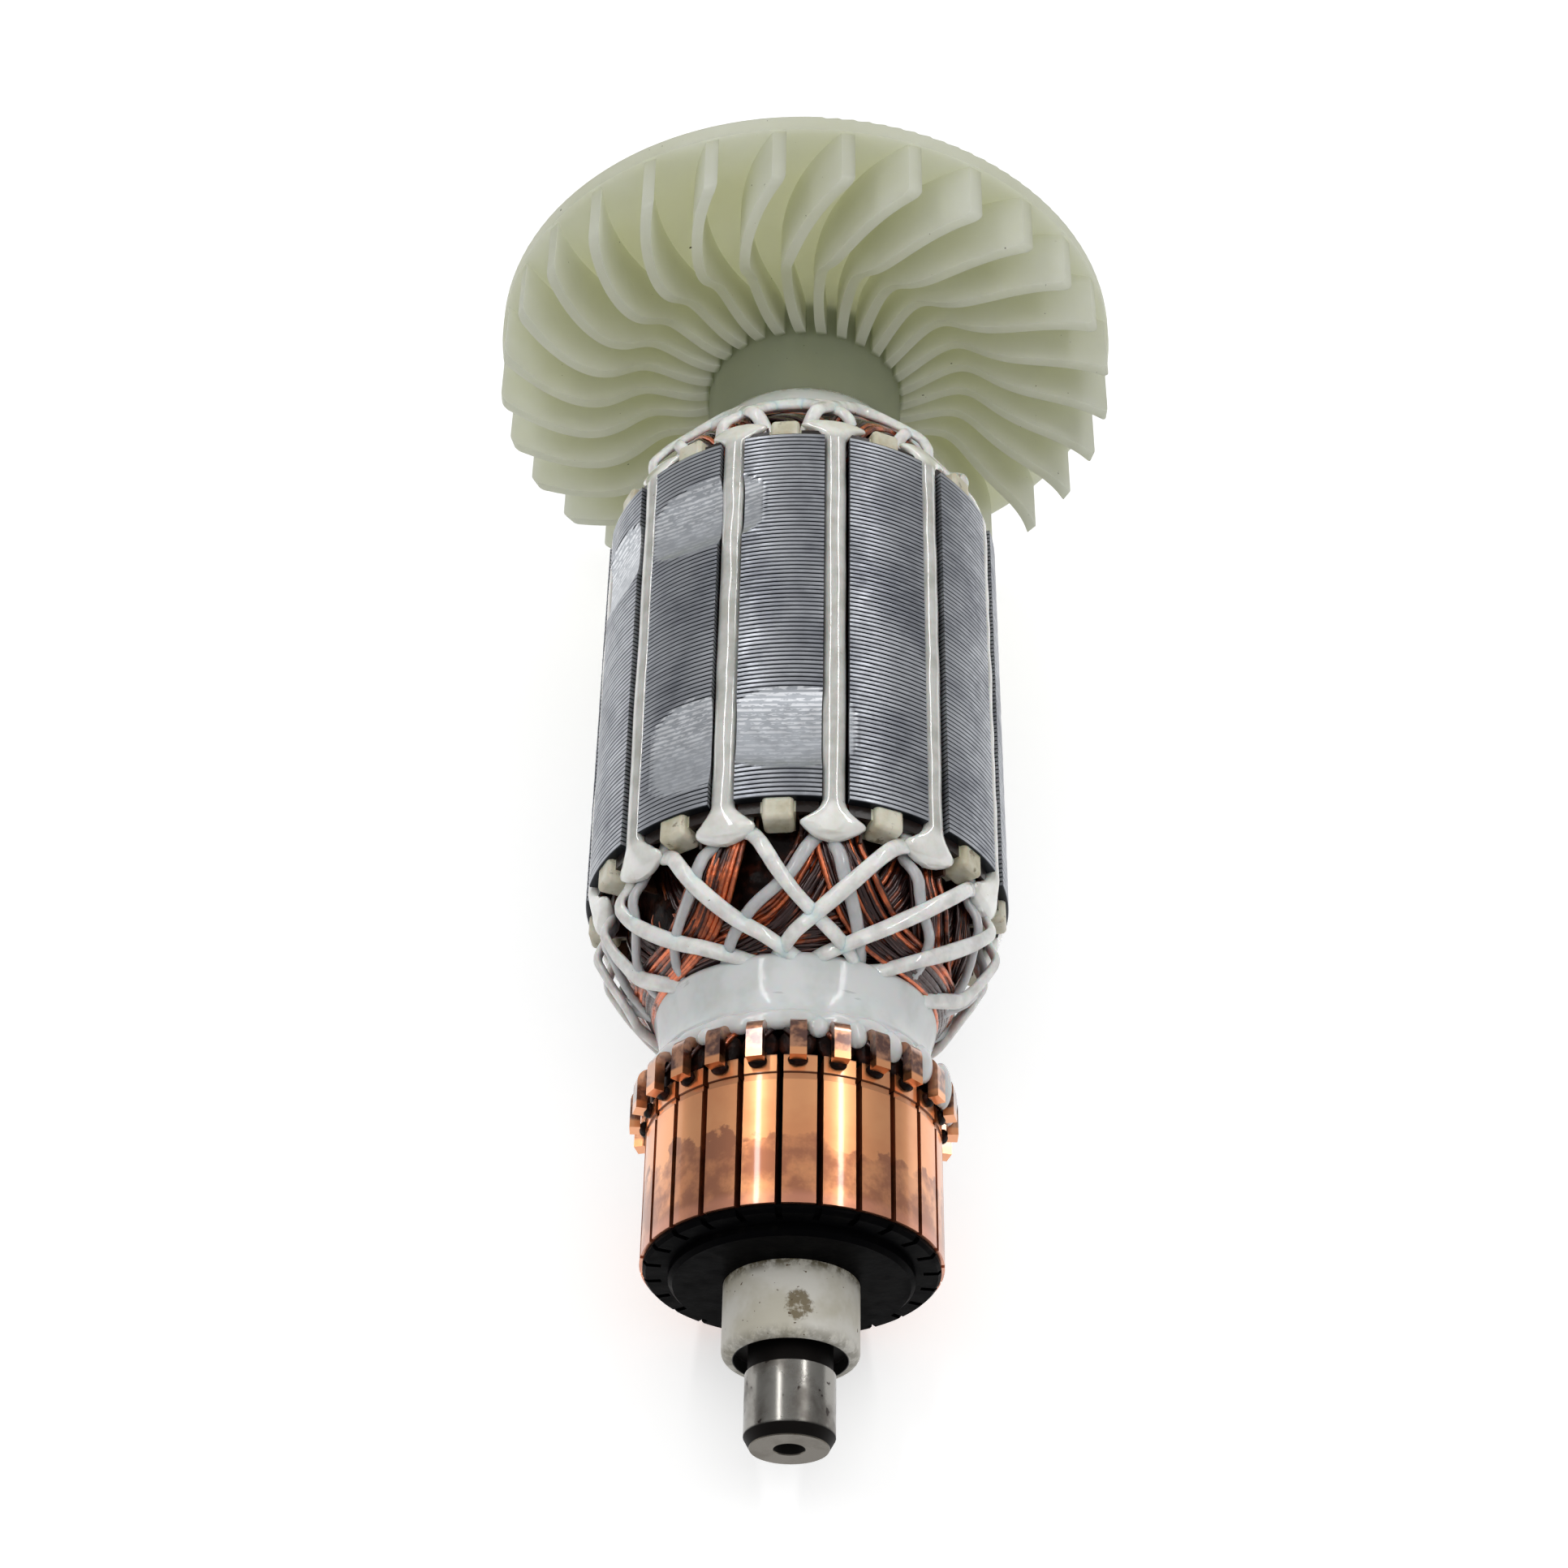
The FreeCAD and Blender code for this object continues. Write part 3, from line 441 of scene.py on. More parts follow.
def makeLacingCord():
    # Plaited polyester cord soaked in resin: off white, satin, with wet spots
    material, add, shader, place = newMaterial("resin_soaked_cord")
    tone = add("tone")
    colour = add("mix", add("ramp", noiseAt(add, place, 1.6, 3), 0.35, 0.7), "#efefec", "#d6d6d3")
    # the under layer, beneath the cords over it, is darker and bluish grey
    under = add("GREATER_THAN", tone, underTone / 2)
    colour = add("mix", add("MULTIPLY", under, 0.6), colour, "#8f9299")
    colour = add("mix", add("ramp", noiseAt(add, place, 0.9, 3, 0.7), 0.71, 0.75), colour, "#857456")
    wet = add("ramp", noiseAt(add, place, 1.5, 2), 0.45, 0.6, 0.1, 0.9)
    # the plait: slanting yarns 0.6 mm apart along the cord, told by the mesh's tone value
    lumps = add("MULTIPLY_ADD", add("PINGPONG", tone, 0.5), 0.25, noiseAt(add, place, 1.0, 3))
    setInputs(shader, {"Base Color": colour, "Roughness": 0.35, "Coat Weight": wet, "Coat Roughness": 0.08,
                       "Coat IOR": 1.7, "Subsurface Weight": 0.4, "Subsurface Scale": 0.8 * mm,
                       "Normal": add("bump", lumps, 0.08 * mm)})
    return material


def makeEnamelledWire():
    # Enamelled copper wire under dripping varnish: deep red brown, with painted orange glints where the noise
    # and the wire's tone run high
    material, add, shader, place = newMaterial("varnished_copper_wire")
    # painted glints: the mix turns orange along parts of each wire
    glow = add("ramp", add("MULTIPLY_ADD", noiseAt(add, place, 1.6, 3), 1.0, add("tone")), 0.82, 1.4)
    setInputs(shader, {"Base Color": add("mix", glow, "#2e0d0a", "#e6733c"), "Metallic": 0.75,
                       "Roughness": 0.28, "Coat Weight": 1.0, "Coat Roughness": 0.04,
                       "Normal": add("bump", noiseAt(add, place, 0.8, 3), 0.16 * mm)})
    return material


def makeVarnishAndShade():
    # Pooled impregnating varnish, which also stands as painted shade between the winding's wires and round
    # the hooks: nearly black brown, glassy
    material, add, shader, place = newMaterial("pooled_varnish_and_shade")
    colour = add("mix", add("ramp", noiseAt(add, place, 1.0, 3), 0.45, 0.75), "#120806", "#3a1b12")
    setInputs(shader, {"Base Color": colour, "Roughness": 0.3, "Specular IOR Level": 0.06,
                       "Normal": add("bump", noiseAt(add, place, 0.9, 2), 0.1 * mm)})
    return material


def makeLinerPaper():
    # Insulating paper soaked in the same varnish as the wires: brown, half gloss
    material, add, shader, place = newMaterial("varnished_paper")
    colour = add("mix", add("ramp", noiseAt(add, place, 1.5, 3), 0.4, 0.7), "#2a1610", "#5a3a28")
    setInputs(shader, {"Base Color": colour, "Roughness": 0.35})
    return material


def makeFanNylon():
    # Unfilled nylon, injection moulded: milky and green tinged, with scuffs and specks. Light goes into it
    # and comes out again over a few millimetres, so that its edges look soft.
    material, add, shader, place = newMaterial("milky_nylon")
    station = add("zOf", place)
    radius = axisDistance(add, place)
    colour = add("mix", add("ramp", station, 119.5 * mm, 127.6 * mm), "#eff0e4", "#eeefdb")
    rim = add("ramp", radius, 27 * mm, 33.5 * mm)
    colour = add("mix", add("MULTIPLY", rim, 0.6), colour, "#eceee6")
    # the solid hub is coloured darker than the thin blades on the side of the winding: painted shade, and the
    # deeper look of the thicker nylon
    hub = add("MULTIPLY", add("ramp", radius, 11.2 * mm, 10.7 * mm),
              add("ramp", station, 127.5 * mm, 126.0 * mm))
    colour = add("mix", hub, colour, "#b4baa3")
    broad = add("ramp", noiseAt(add, place, 9, 3), 0.35, 0.7)
    colour = add("mix", add("MULTIPLY", broad, 0.2), colour, "#d6d6b4")
    specks = add("ramp", noiseAt(add, place, 1.1, 3, 0.7), 0.725, 0.75)
    colour = add("mix", specks, colour, "#5b5444")
    setInputs(shader, {"Base Color": colour, "Roughness": 0.38, "Subsurface Weight": 1.0,
                       "Subsurface Radius": [1.0, 1.0, 0.9], "Subsurface Scale": 4.0 * mm,
                       "Normal": add("bump", noiseAt(add, place, 2.5, 4), 0.06 * mm)})
    # light also passes right through the thin blades
    both = add("blendShaders", 0.55, shader.outputs[0], add("translucent", colour))
    setInputs(material.node_tree.nodes["Material Output"], {"Surface": both})
    return material


copper = makeCommutatorCopper()
sheetSteel = makeSheetSteel()
insulatorPlastic = makeInsulatorPlastic()
whiteResin = makeWhiteResin()
stripResin = makeStripResin()
cordFibre = makeLacingCord()
wireEnamel = makeEnamelledWire()
varnishAndShade = makeVarnishAndShade()

# the solids that show as they are, by the name of the node without its number
finishes = dict(shaft=makeGroundSteel(), shaft_sleeve=makeSleevePlastic(), commutator_hub=makePhenolic(),
                commutator_bar=copper, slot_liner=makeLinerPaper(), rear_resin_collar=whiteResin,
                front_end_insulator=insulatorPlastic, rear_end_insulator=insulatorPlastic,
                cooling_fan=makeFanNylon())
for name, node in frame["nodes"].items():
    finish = finishes.get(name.rstrip("_0123456789"))
    if finish:
        for slot in node.material_slots:
            slot.material = finish
print("stage: materials ready")


# Laminated core: the punched outline carried along the shaft, a ridge for each sheet

sheet = dict(toothWidth=3.65, opening=2.58, lipThickness=0.9, lipSlope=0.9, slotBottom=10.9,
             jointDepth=0.13, jointWidth=0.24, uneven=0.03, arcPoints=17, borePoints=72, boreTone=0.3,
             flats=((-3.5, 0.95, 57.0, 66.4), (-31.0, 0.6, 56.0, 66.6),
                    (-30.0, 1.1, 85.0, 93.9), (-67.0, 0.7, 85.6, 94.2)))


def coreOutline():
    # One slot pitch: along the tooth's arc, round the lip, down the tooth's side to the slot's bottom.
    # Half a slot's width at a radius = radius * tan(half the pitch) - half the tooth's width / cos(the same)
    half = math.radians(slotPitch / 2)
    lipOuter = core["radius"] - sheet["lipThickness"]
    lipInner = lipOuter - sheet["lipSlope"]

    def slotHalf(radius):
        return radius * math.tan(half) - sheet["toothWidth"] / 2 / math.cos(half)

    halfOpening = sheet["opening"] / 2
    lipAngle = math.degrees(math.asin(halfOpening / core["radius"]))
    arc = np.linspace(lipAngle, slotPitch - lipAngle, sheet["arcPoints"])
    points = [(core["radius"], a) for a in arc]
    bottom = sheet["slotBottom"]
    side = [(-halfOpening, lipOuter), (-slotHalf(lipInner), lipInner), (-slotHalf(bottom), bottom)]
    lowest = [(0.0, bottom - slotHalf(bottom))]
    for x, y in side + lowest + [(-x, y) for x, y in reversed(side)]:
        points.append((math.hypot(x, y), slotPitch + math.degrees(math.atan2(x, y))))
    outline = []
    for k in range(core["slots"]):
        outline += [(radius, core["slotPhase"] + slotPitch * k + angle) for radius, angle in points]
    return np.array(outline)


def makeCore():
    # Radius of a point = outline, drawn in at each joint, and never outside the plane of a milled flat
    outline = coreOutline()
    rng = np.random.default_rng(4)
    count = core["sheets"]
    pitch = (core["end"] - core["start"]) / count
    edges = core["start"] + pitch * np.arange(count + 1)
    joint = sheet["jointWidth"] / 2
    stations = np.stack([edges[:-1], edges[:-1] + joint, edges[1:] - joint], 1).reshape(-1)
    stations = np.append(stations, core["end"])
    level = rng.uniform(-1, 0, count) * sheet["uneven"]
    inset = np.stack([np.full(count, -sheet["jointDepth"]), level, level], 1).reshape(-1)
    inset = np.append(inset, -sheet["jointDepth"] / 2)
    tone = np.append(np.tile([0.0, 0.5, 0.5], count), 0.0)
    radius = np.broadcast_to(outline[:, 0], (len(stations), len(outline))).copy()
    angle = np.broadcast_to(outline[:, 1], radius.shape)
    station = np.broadcast_to(stations[:, None], radius.shape)
    outer = radius > core["radius"] - 0.01
    radius = radius + np.where(outer, inset[:, None], inset[:, None] * 0.5)
    tones = np.broadcast_to(tone[:, None], radius.shape).copy()
    for middle, depth, first, last in sheet["flats"]:
        away = np.radians((angle - middle + 180) % 360 - 180)
        # the round cutter leaves a shallow scoop that runs out at both ends: depth times 1 - share^4
        share = (station - (first + last) / 2) / ((last - first) / 2)
        scoop = depth * (1 - share**4)
        plane = (core["radius"] - scoop) / np.cos(np.clip(away, -1.2, 1.2))
        cut = (np.abs(share) < 1) & (np.abs(away) < 1) & (plane < radius)
        radius = np.where(cut, plane, radius)
        tones = np.where(cut & outer, 1.0, tones)
    points = toRow(radius, angle, station)
    rows, columns = radius.shape
    bore = np.linspace(0, 360, sheet["borePoints"], endpoint=False)
    faces = []

    def flatRing(polar):
        # An end of the core seen flat: (radius * sin angle, radius * cos angle)
        return [Vector((r * math.sin(math.radians(a)), r * math.cos(math.radians(a)), 0)) for r, a in polar]

    for row, facesUp in ((0, False), (rows - 1, True)):
        offset = rows * columns + (len(bore) if facesUp else 0)
        for face in tessellate_polygon([flatRing(outline), flatRing([(core["bore"], a) for a in bore])]):
            faces.append([i + row * columns if i < columns else offset + i - columns for i in face])
    holes = np.stack([toRow(core["bore"], bore, core["start"]), toRow(core["bore"], bore, core["end"])])
    values = np.concatenate([tones.reshape(-1), np.full(2 * len(bore), sheet["boreTone"])])
    makePiece("core_sheets", [(points, False), (holes, False)], sheetSteel,
              ["lamination_stack"], values, faces, smooth=False, capped=False)


makeCore()
print("stage: core ready")


# Slot strips: the strip that closes each slot, and its resin-soaked fishtail beyond the core

strip = dict(recess=0.12, halfWidth=1.1, halfHeight=0.8, aside=-0.05, tailLength=3.4, tailDrop=1.2,
             thinRun=0.5, whiteRun=0.9, around=20, tailRows=44, slotRows=52)


def makeStrips():
    # Section = an ellipse carried along the slot; half its width follows the fishtail's outline
    tail = np.array([(-strip["tailLength"], 0.1), (-3.32, 1.0), (-3.1, 1.8), (-2.8, 2.5), (-2.5, 2.95),
                     (-2.2, 3.12), (-1.9, 2.95), (-1.5, 2.3), (-1.0, 1.68), (-0.5, 1.3),
                     (0.0, strip["halfWidth"])])
    middle = np.array([[(core["start"] + core["end"]) / 2, strip["halfWidth"]]])
    rear = [core["end"], 0] + tail[::-1] * [-1, 1]
    outline = np.concatenate([[core["start"], 0] + tail, middle, rear])
    # rows by the outline's points: the front tail, the slot between them, the rear tail
    front, back, last = len(tail) - 1, len(tail) + 1, len(outline) - 1
    share = np.concatenate([np.linspace(0, front, strip["tailRows"]),
                            np.linspace(front, back, strip["slotRows"])[1:-1],
                            np.linspace(back, last, strip["tailRows"])])
    station = np.interp(share, range(len(outline)), outline[:, 0])
    halfWidth = np.interp(share, range(len(outline)), outline[:, 1])
    beyond = np.maximum(np.maximum(core["start"] - station, station - core["end"]), 0)
    drop = strip["tailDrop"] * (beyond / strip["tailLength"]) ** 1.3
    turn = np.linspace(0, 2 * math.pi, strip["around"], endpoint=False)
    across = np.cos(turn)
    upward = np.sin(turn)
    grids, tones = [], []
    for k in range(core["slots"]):
        angle = core["slotPhase"] + slotPitch * k
        wobble = 1 + 0.04 * waves(station, 0, 30 + k, 1.6) * (beyond == 0)
        unevenness = (0.05 + 0.08 * beyond / strip["tailLength"])[:, None]
        lumps = unevenness * waves(station[:, None], 3 * across[None, :], 90 + k, 1.1)
        middle = core["radius"] - strip["recess"] - strip["halfHeight"] - drop
        thinning = np.clip((strip["tailLength"] - beyond) / strip["thinRun"], 0.15, 1) ** 0.5
        tall = strip["halfHeight"] * thinning
        tailShare = beyond / strip["tailLength"]
        skew = 0.3 * tailShare * waves(station, 0, 60 + k, 0.6) + strip["aside"] * (1 - tailShare)
        ragged = 1 + 0.14 * np.minimum(2 * tailShare, 1) * waves(station, 0, 160 + k, 0.35)
        x = (halfWidth * wobble * ragged)[:, None] * across + skew[:, None]
        y = middle[:, None] + tall[:, None] * upward + lumps
        radius = np.hypot(x, y)
        grids.append((toRow(radius, angle + np.degrees(np.arctan2(x, y)), station[:, None]), False))
        tones.append(np.repeat(np.clip(beyond / strip["whiteRun"], 0, 1), strip["around"]))
    nodes = ["slot_wedge_%02d" % (k + 1) for k in range(core["slots"])]
    makePiece("slot_strips", grids, stripResin, nodes, np.concatenate(tones))


makeStrips()
print("stage: slot strips ready")


# Winding heads: coils that span five slots, the last two wound lie outermost

head = dict(span=150, ranks=6, frontLength=12.5, rearLength=10.4, frontNose=13.4, rearNose=13.3,
            wire=0.28, points=36, sides=6, wires=(26, 24, 20, 16, 14, 12),
            bodyDepth=2.6, footDepth=3.0, bodyInside=6.8, bodyLeast=7.5)


def headEnd(front):
    # Length and nose radius of a head, the station of the core's face beside it, and the way out from there
    if front:
        return head["frontLength"], head["frontNose"], core["start"], -1
    return head["rearLength"], head["rearNose"], core["end"], 1


def headRadius(reach, length, nose):
    # Outside of a head at a distance from the core: level past the cuffs, then down to the nose
    first = 3.2
    share = [0.0, 0.23, 0.45, 0.63, 0.82, 1.0]
    down = [0.34, 0.34, 0.5, 0.66, 0.83, 1.0]
    places = [-1.0, 0.0] + [first + (length - first) * s for s in share] + [length + 4]
    depths = [0.08, 0.12] + down + [1.0]
    return core["radius"] - (core["radius"] - nose) * np.interp(reach, places, depths)


def makeHeadWires(front):
    # Wire angle runs from slot to slot, its distance from the core swells to the nose and back
    length, nose, face, way = headEnd(front)
    rng = np.random.default_rng(11 if front else 12)
    t = np.linspace(0, 1, head["points"])
    grids, tones = [], []
    for rank in range(head["ranks"]):
        for side in range(2):
            startAngle = core["slotPhase"] + slotPitch * rank + 180 * side
            for wire in range(head["wires"][rank]):
                # neighbouring wires run side by side: place shifts both the angle and the turning point
                place = (wire + rng.uniform(0, 0.5)) / head["wires"][rank]
                spread = 12 * (place - 0.5) + rng.uniform(-0.9, 0.9, 2)
                straight = 0.15 + 0.5 * (wire % 5) / 4
                eased = straight * t + (1 - straight) * t * t * (3 - 2 * t)
                angle = startAngle + spread[0] * (1 - t) - spread[1] * t + head["span"] * eased
                deepest = length - 0.5 - 2.6 * place
                reach = -1.0 + (deepest + 1.0) * (1 - np.abs(2 * t - 1) ** 4.5)
                reach = reach + 0.12 * waves(t * 9, 0, int(rng.integers(9999)), 1.0)
                layer = 0.4 + 0.5 * rank + rng.uniform(0, 0.6)
                tuck = 1.2 * np.clip(1 - (reach + 1) / 4.5, 0, 1)
                wander = 0.1 * waves(t * 11, 0, int(rng.integers(9999)), 1.0)
                radius = headRadius(reach, length, nose) - layer - tuck + wander
                path = toRow(radius, angle, face + way * reach)
                grids.append((tube(path, outwardAt(angle), head["wire"], head["wire"], head["sides"]), False))
                # a random tone for each wire, a little lower for the deeper ranks: painted shade deeper in
                # the head
                tones.append(np.full(head["points"] * head["sides"], rng.uniform(0.0, 0.75) - 0.03 * rank))
    return grids, tones


def makeWinding():
    # The wires of both heads, over a near black body that shows in the gaps between them: painted shade deep
    # in the winding
    grids, tones = [], []
    for front in (True, False):
        more, moreTones = makeHeadWires(front)
        grids += more
        tones += moreTones
    makePiece("winding_wires", grids, wireEnamel, ["armature_winding"],
              np.concatenate(tones))
    bodies = []
    angle = np.linspace(0, 360, 96, endpoint=False)
    for front in (True, False):
        length, nose, face, way = headEnd(front)
        reach = np.linspace(-1.0, length, 20)
        radius = headRadius(reach, length, nose) - head["bodyDepth"]
        radius = radius - np.where(reach < 1, head["footDepth"], 0)
        radius = radius[:, None] + 0.25 * waves(angle[None, :] * 0.25, reach[:, None], 5, 1.0)
        outside = toRow(np.maximum(radius, head["bodyLeast"]), angle[None, :], face + way * reach[:, None])
        inside = toRow(head["bodyInside"], angle[None, :], face + way * reach[::-1, None])
        bodies.append((np.concatenate([outside, inside]), True))
    makePiece("winding_body", bodies, varnishAndShade)


makeWinding()
print("stage: winding ready")


# Lacing cord: routes read off the photograph as (angle, station), each laid on the head's slope.
# The same lacing is repeated on the far side, where the photograph doesn't reach.

cord = dict(halfWidth=0.76, halfHeight=0.43, points=60, sides=12, yarn=0.6, underLift=0.25,
            overLift=0.7, liftStep=0.09, tuck=2.4, tuckRun=4.6, domeTuck=2.6, domeRun=7.5,
            lip=42.7, lipRun=1.7, lipSink=0.6)
underRoutes = [
    [(-24, 51.8), (-28, 50.5), (-34, 47.2), (-49, 43.7), (-58, 41.3), (-66, 39)],
    [(6, 51.8), (3.5, 50.9), (-3.5, 47.3), (-16, 44.8), (-27, 42.4), (-38, 40.8), (-48, 39)],
    [(8, 51.8), (9.2, 51.1), (13, 47.4), (20.8, 43.6), (26.5, 41.9), (35, 39)],
    [(32, 51.8), (33.4, 50.4), (39.6, 46.9), (50, 44.3), (57, 38.7)],
    [(-54, 51.8), (-56, 50.6), (-60, 47), (-72.6, 43.8), (-78, 38.5)],
    [(62, 51.8), (64, 51), (71, 47.2), (84, 43.5), (92, 39.5)],
    [(92, 51.8), (94, 51), (97, 47.2), (88, 43.5), (78, 39.5)],
]
overRoutes = [
    [(-79, 51.5), (-77.8, 49), (-76.5, 46), (-69.5, 43), (-46.4, 40.3), (-30, 38.9)],
    [(-59.5, 51.7), (-62.5, 49.5), (-58.8, 46.6), (-43.2, 43.4), (-17.8, 41.1), (4, 39.8), (18, 38.4)],
    [(-44, 51.7), (-38.6, 50.4), (-31.1, 46.8), (-21.3, 44), (-8.5, 42.1), (8, 40.4), (28, 38.0)],
    [(-16.5, 51.9), (-13, 50.8), (-7.3, 47.6), (0.1, 45.1), (12.3, 42.7), (27.3, 41.2), (42, 38.6)],
    [(88, 49.5), (86, 46), (80.4, 43.2), (60, 41), (38.5, 39.6), (20, 38.4)],
    [(75, 51.5), (70.7, 48.1), (55.8, 44.3), (36.2, 41.5), (12.7, 40.3), (-6, 38.4)],
    [(61, 51.7), (54.3, 50.1), (39.5, 46), (22.1, 42.8), (1.8, 40.9), (-18, 38.8)],
    [(31.5, 51.8), (26.1, 50.5), (13.9, 46.3), (-0.4, 42.9), (-20, 39.7), (-30, 38.4)],
]


def routeGrid(route, turnBy, lift, layer, front, closed=False):
    # Radius of the centre line = the head's outside + lift - a tuck that grows towards both ends
    length, nose, face, way = headEnd(front)
    count = cord["points"] * (3 if closed else 1)
    # an open cord starts inside the end insulator's plate
    start = [] if closed else [(route[0][0], face + 0.5 * way)]
    fine = smoothCurve(start + route, count)[:count - 1 if closed else count]
    angle = fine[:, 0] + turnBy
    station = fine[:, 1]
    reach = (station - face) * way
    surface = headRadius(reach, length, nose)
    steps = np.linalg.norm(np.diff(toRow(surface, angle, station), axis=0), axis=1)
    run = np.concatenate([[0], np.cumsum(steps)]) / mm
    left = run[-1] - run
    tuck = 0 if closed else cord["tuck"] * np.clip(1 - run / cord["tuckRun"], 0, 1) ** 1.2
    if front:
        # it sinks as it nears the dome, to pass under the resin's lip
        tuck = tuck + cord["domeTuck"] * np.clip(1 - left / cord["domeRun"], 0, 1) ** 1.4
        tuck = tuck + 0.5 * lift * run / run[-1]
        tuck = tuck + (cord["lipSink"] + 0.8 * lift) * np.clip((cord["lip"] - station) / cord["lipRun"], 0, 1)
    elif not closed:
        tuck = tuck + cord["tuck"] * np.clip(1 - left / cord["tuckRun"], 0, 1) ** 1.2
    radius = surface + lift - tuck + 0.05 * waves(run / 2, 0, layer, 1.0)
    under = front and lift == cord["underLift"]
    width = cord["halfWidth"] * (1 + 0.08 * waves(run, 0, 40 + layer, 1.5)) * (0.88 if lift < 0.5 else 1)
    grid = tube(toRow(radius, angle, station), outwardAt(angle), width, cord["halfHeight"], cord["sides"])
    slant = np.arange(cord["sides"]) / cord["sides"]
    tone = run[:, None] / cord["yarn"] + slant[None, :] * 2 + (underTone if under else 0)
    return (grid, closed), tone.reshape(-1)


def lace(name, node, runs):
    # One piece from all runs of a cord, each with what routeGrid takes
    grids, tones = zip(*[routeGrid(*run) for run in runs])
    makePiece(name, grids, cordFibre, [node], np.concatenate(tones))


def makeFrontLacing():
    # Every route twice, half a turn apart: first the under layer, then the one over it, each route higher
    runs = []
    for turnBy in (0, 180):
        for layer, route in enumerate(underRoutes):
            runs.append((route, turnBy, cord["underLift"], layer, True))
        for layer, route in enumerate(overRoutes):
            runs.append((route, turnBy, cord["overLift"] + cord["liftStep"] * layer, layer + 20, True))
    lace("front_lacing", "front_lacing_cord", runs)


# One rear loop, as (angle past its slot, station)
rearLoop = [(-9, 100.2), (-5, 103.2), (6, 106.9), (15, 107.9), (24, 106.9), (35, 103.2), (39, 100.2)]


def makeRearLacing():
    # A ring by the resin collar, and a loop from each slot up to it and back to the next slot
    ring = [(angle, 107.6 + 0.3 * math.sin(math.radians(angle * 3))) for angle in range(180, 541, 20)]
    routes = [ring]
    for k in range(core["slots"]):
        slot = core["slotPhase"] + slotPitch * k
        routes.append([(slot + past, station) for past, station in rearLoop])
    lace("rear_lacing", "rear_lacing_cord",
         [(route, 0, 0.45 + 0.35 * (layer % 2), layer + 50, False, route is ring)
          for layer, route in enumerate(routes)])


makeFrontLacing()
makeRearLacing()
print("stage: lacing ready")


# Resin: the poured dome between the hooks and the winding, with drips that ran between the hooks

dome = dict(low=33.9, top=40.6, rows=60, columns=288)
# Drips of its lower lip: angle, fall and half width in degrees
drips = [(7.6, 0.5, 3.4), (22.6, 0.5, 3.4), (37.6, 0.6, 3.4), (52.6, 0.9, 3.4), (67.6, 1.1, 3.4),
         (82.6, 1.0, 3.4), (-22.4, 0.3, 3.2), (-52.4, 0.3, 3.2), (112.6, 0.6, 3.4), (157.6, 0.7, 3.4),
         (247.6, 0.7, 3.4)]


def makeDome():
    # Each column is a smooth curve: from under the hooks, over the lip, up the waist, into the winding
    angle = np.linspace(-180, 180, dome["columns"], endpoint=False)
    drip = np.zeros_like(angle)
    for middle, fall, width in drips:
        away = (angle - middle + 180) % 360 - 180
        drip += fall * np.exp(-((away / width) ** 2))
    low = dome["low"] - drip + 0.12 * waves(angle * 0.24, 0, 7, 1.0)
    top = dome["top"] + 0.25 * waves(angle * 0.24, 0, 8, 2.5)
    swell = np.clip(drip / 2, 0, 1)
    # radius and station of each column's points
    controls = [(11.8, 34.8), (12.8, low + 0.05), (13.4 + 0.5 * swell, low + 0.05),
                (13.75 + 0.6 * swell, low + 0.6), (13.75 + 0.3 * swell, np.maximum(low + 1.4, 34.7)),
                (12.9, 36.1), (12.6, 37.8), (12.85, 39.3), (13.2, top), (13.3, top + 0.6),
                (12.95, top + 1.1), (12.0, top + 1.3)]
    rings = [np.stack(np.broadcast_arrays(*control, angle)[:2], 1) for control in controls]
    fine = smoothCurve(rings, dome["rows"])
    radius = fine[..., 0] + 0.035 * waves(angle[None, :] * 0.24, fine[..., 1], 9, 1.6)
    points = toRow(radius, angle[None, :], fine[..., 1])
    makePiece("resin_dome", [(points, True)], whiteResin, ["front_resin_collar"])


makeDome()
print("stage: resin ready")


# Hooks: the wire that each one holds, and the varnish pooled round it, whose near black is partly painted
# shade

hook = dict(wire=0.3, points=22, sides=8, dropRows=14, dropColumns=20)

# The wire in a hook, as (radius, angle past the hook's middle, station)
hookRoute = [(11.9, -5.5, 34.6), (13.1, -4.6, 33.6), (13.8, -1.5, 32.6),
             (13.8, 1.5, 32.5), (13.1, 4.2, 33.6), (11.9, 5.0, 34.6)]

# Drops of varnish and painted shade: radius and station of the middle, then half sizes out, across and along.
# The resin's drops have their angle before these.
underHook = (13.7, 30.3, 0.5, 0.88, 0.62)
besideHook = (13.1, 32.2, 0.5, 1.75, 1.6)
resinDrops = [(7.6, 13.4, 33.9, 0.7, 1.0, 1.1), (22.6, 13.5, 33.7, 0.75, 1.1, 1.3),
              (37.6, 13.7, 33.4, 0.8, 1.2, 1.5), (52.6, 14.1, 33.0, 0.9, 1.3, 1.9),
              (67.6, 14.3, 32.5, 0.95, 1.35, 2.3), (82.6, 14.2, 32.6, 0.9, 1.3, 2.1),
              (-37.4, 13.5, 34.1, 0.6, 0.9, 0.8), (-67.4, 13.6, 34.0, 0.6, 0.9, 0.9),
              (112.6, 13.9, 33.2, 0.8, 1.2, 1.6), (172.6, 13.7, 33.6, 0.7, 1.1, 1.4),
              (232.6, 13.8, 33.4, 0.8, 1.1, 1.5)]


def makeHookWires():
    # Each wire comes out of the resin, under the hook's bend and back
    grids, tones = [], []
    for k in range(commutator["bars"]):
        middle = commutator["hookPhase"] + barPitch * k
        points = [(radius, middle + past, station) for radius, past, station in hookRoute]
        radius, angle, station = smoothCurve(points, hook["points"]).T
        path = toRow(radius, angle, station)
        grids.append((tube(path, outwardAt(angle), hook["wire"], hook["wire"], hook["sides"]), False))
        tones.append(np.full(hook["points"] * hook["sides"], 0.3 + 0.3 * math.sin(k * 2.1)))
    makePiece("hook_wires", grids, wireEnamel, (), np.concatenate(tones))


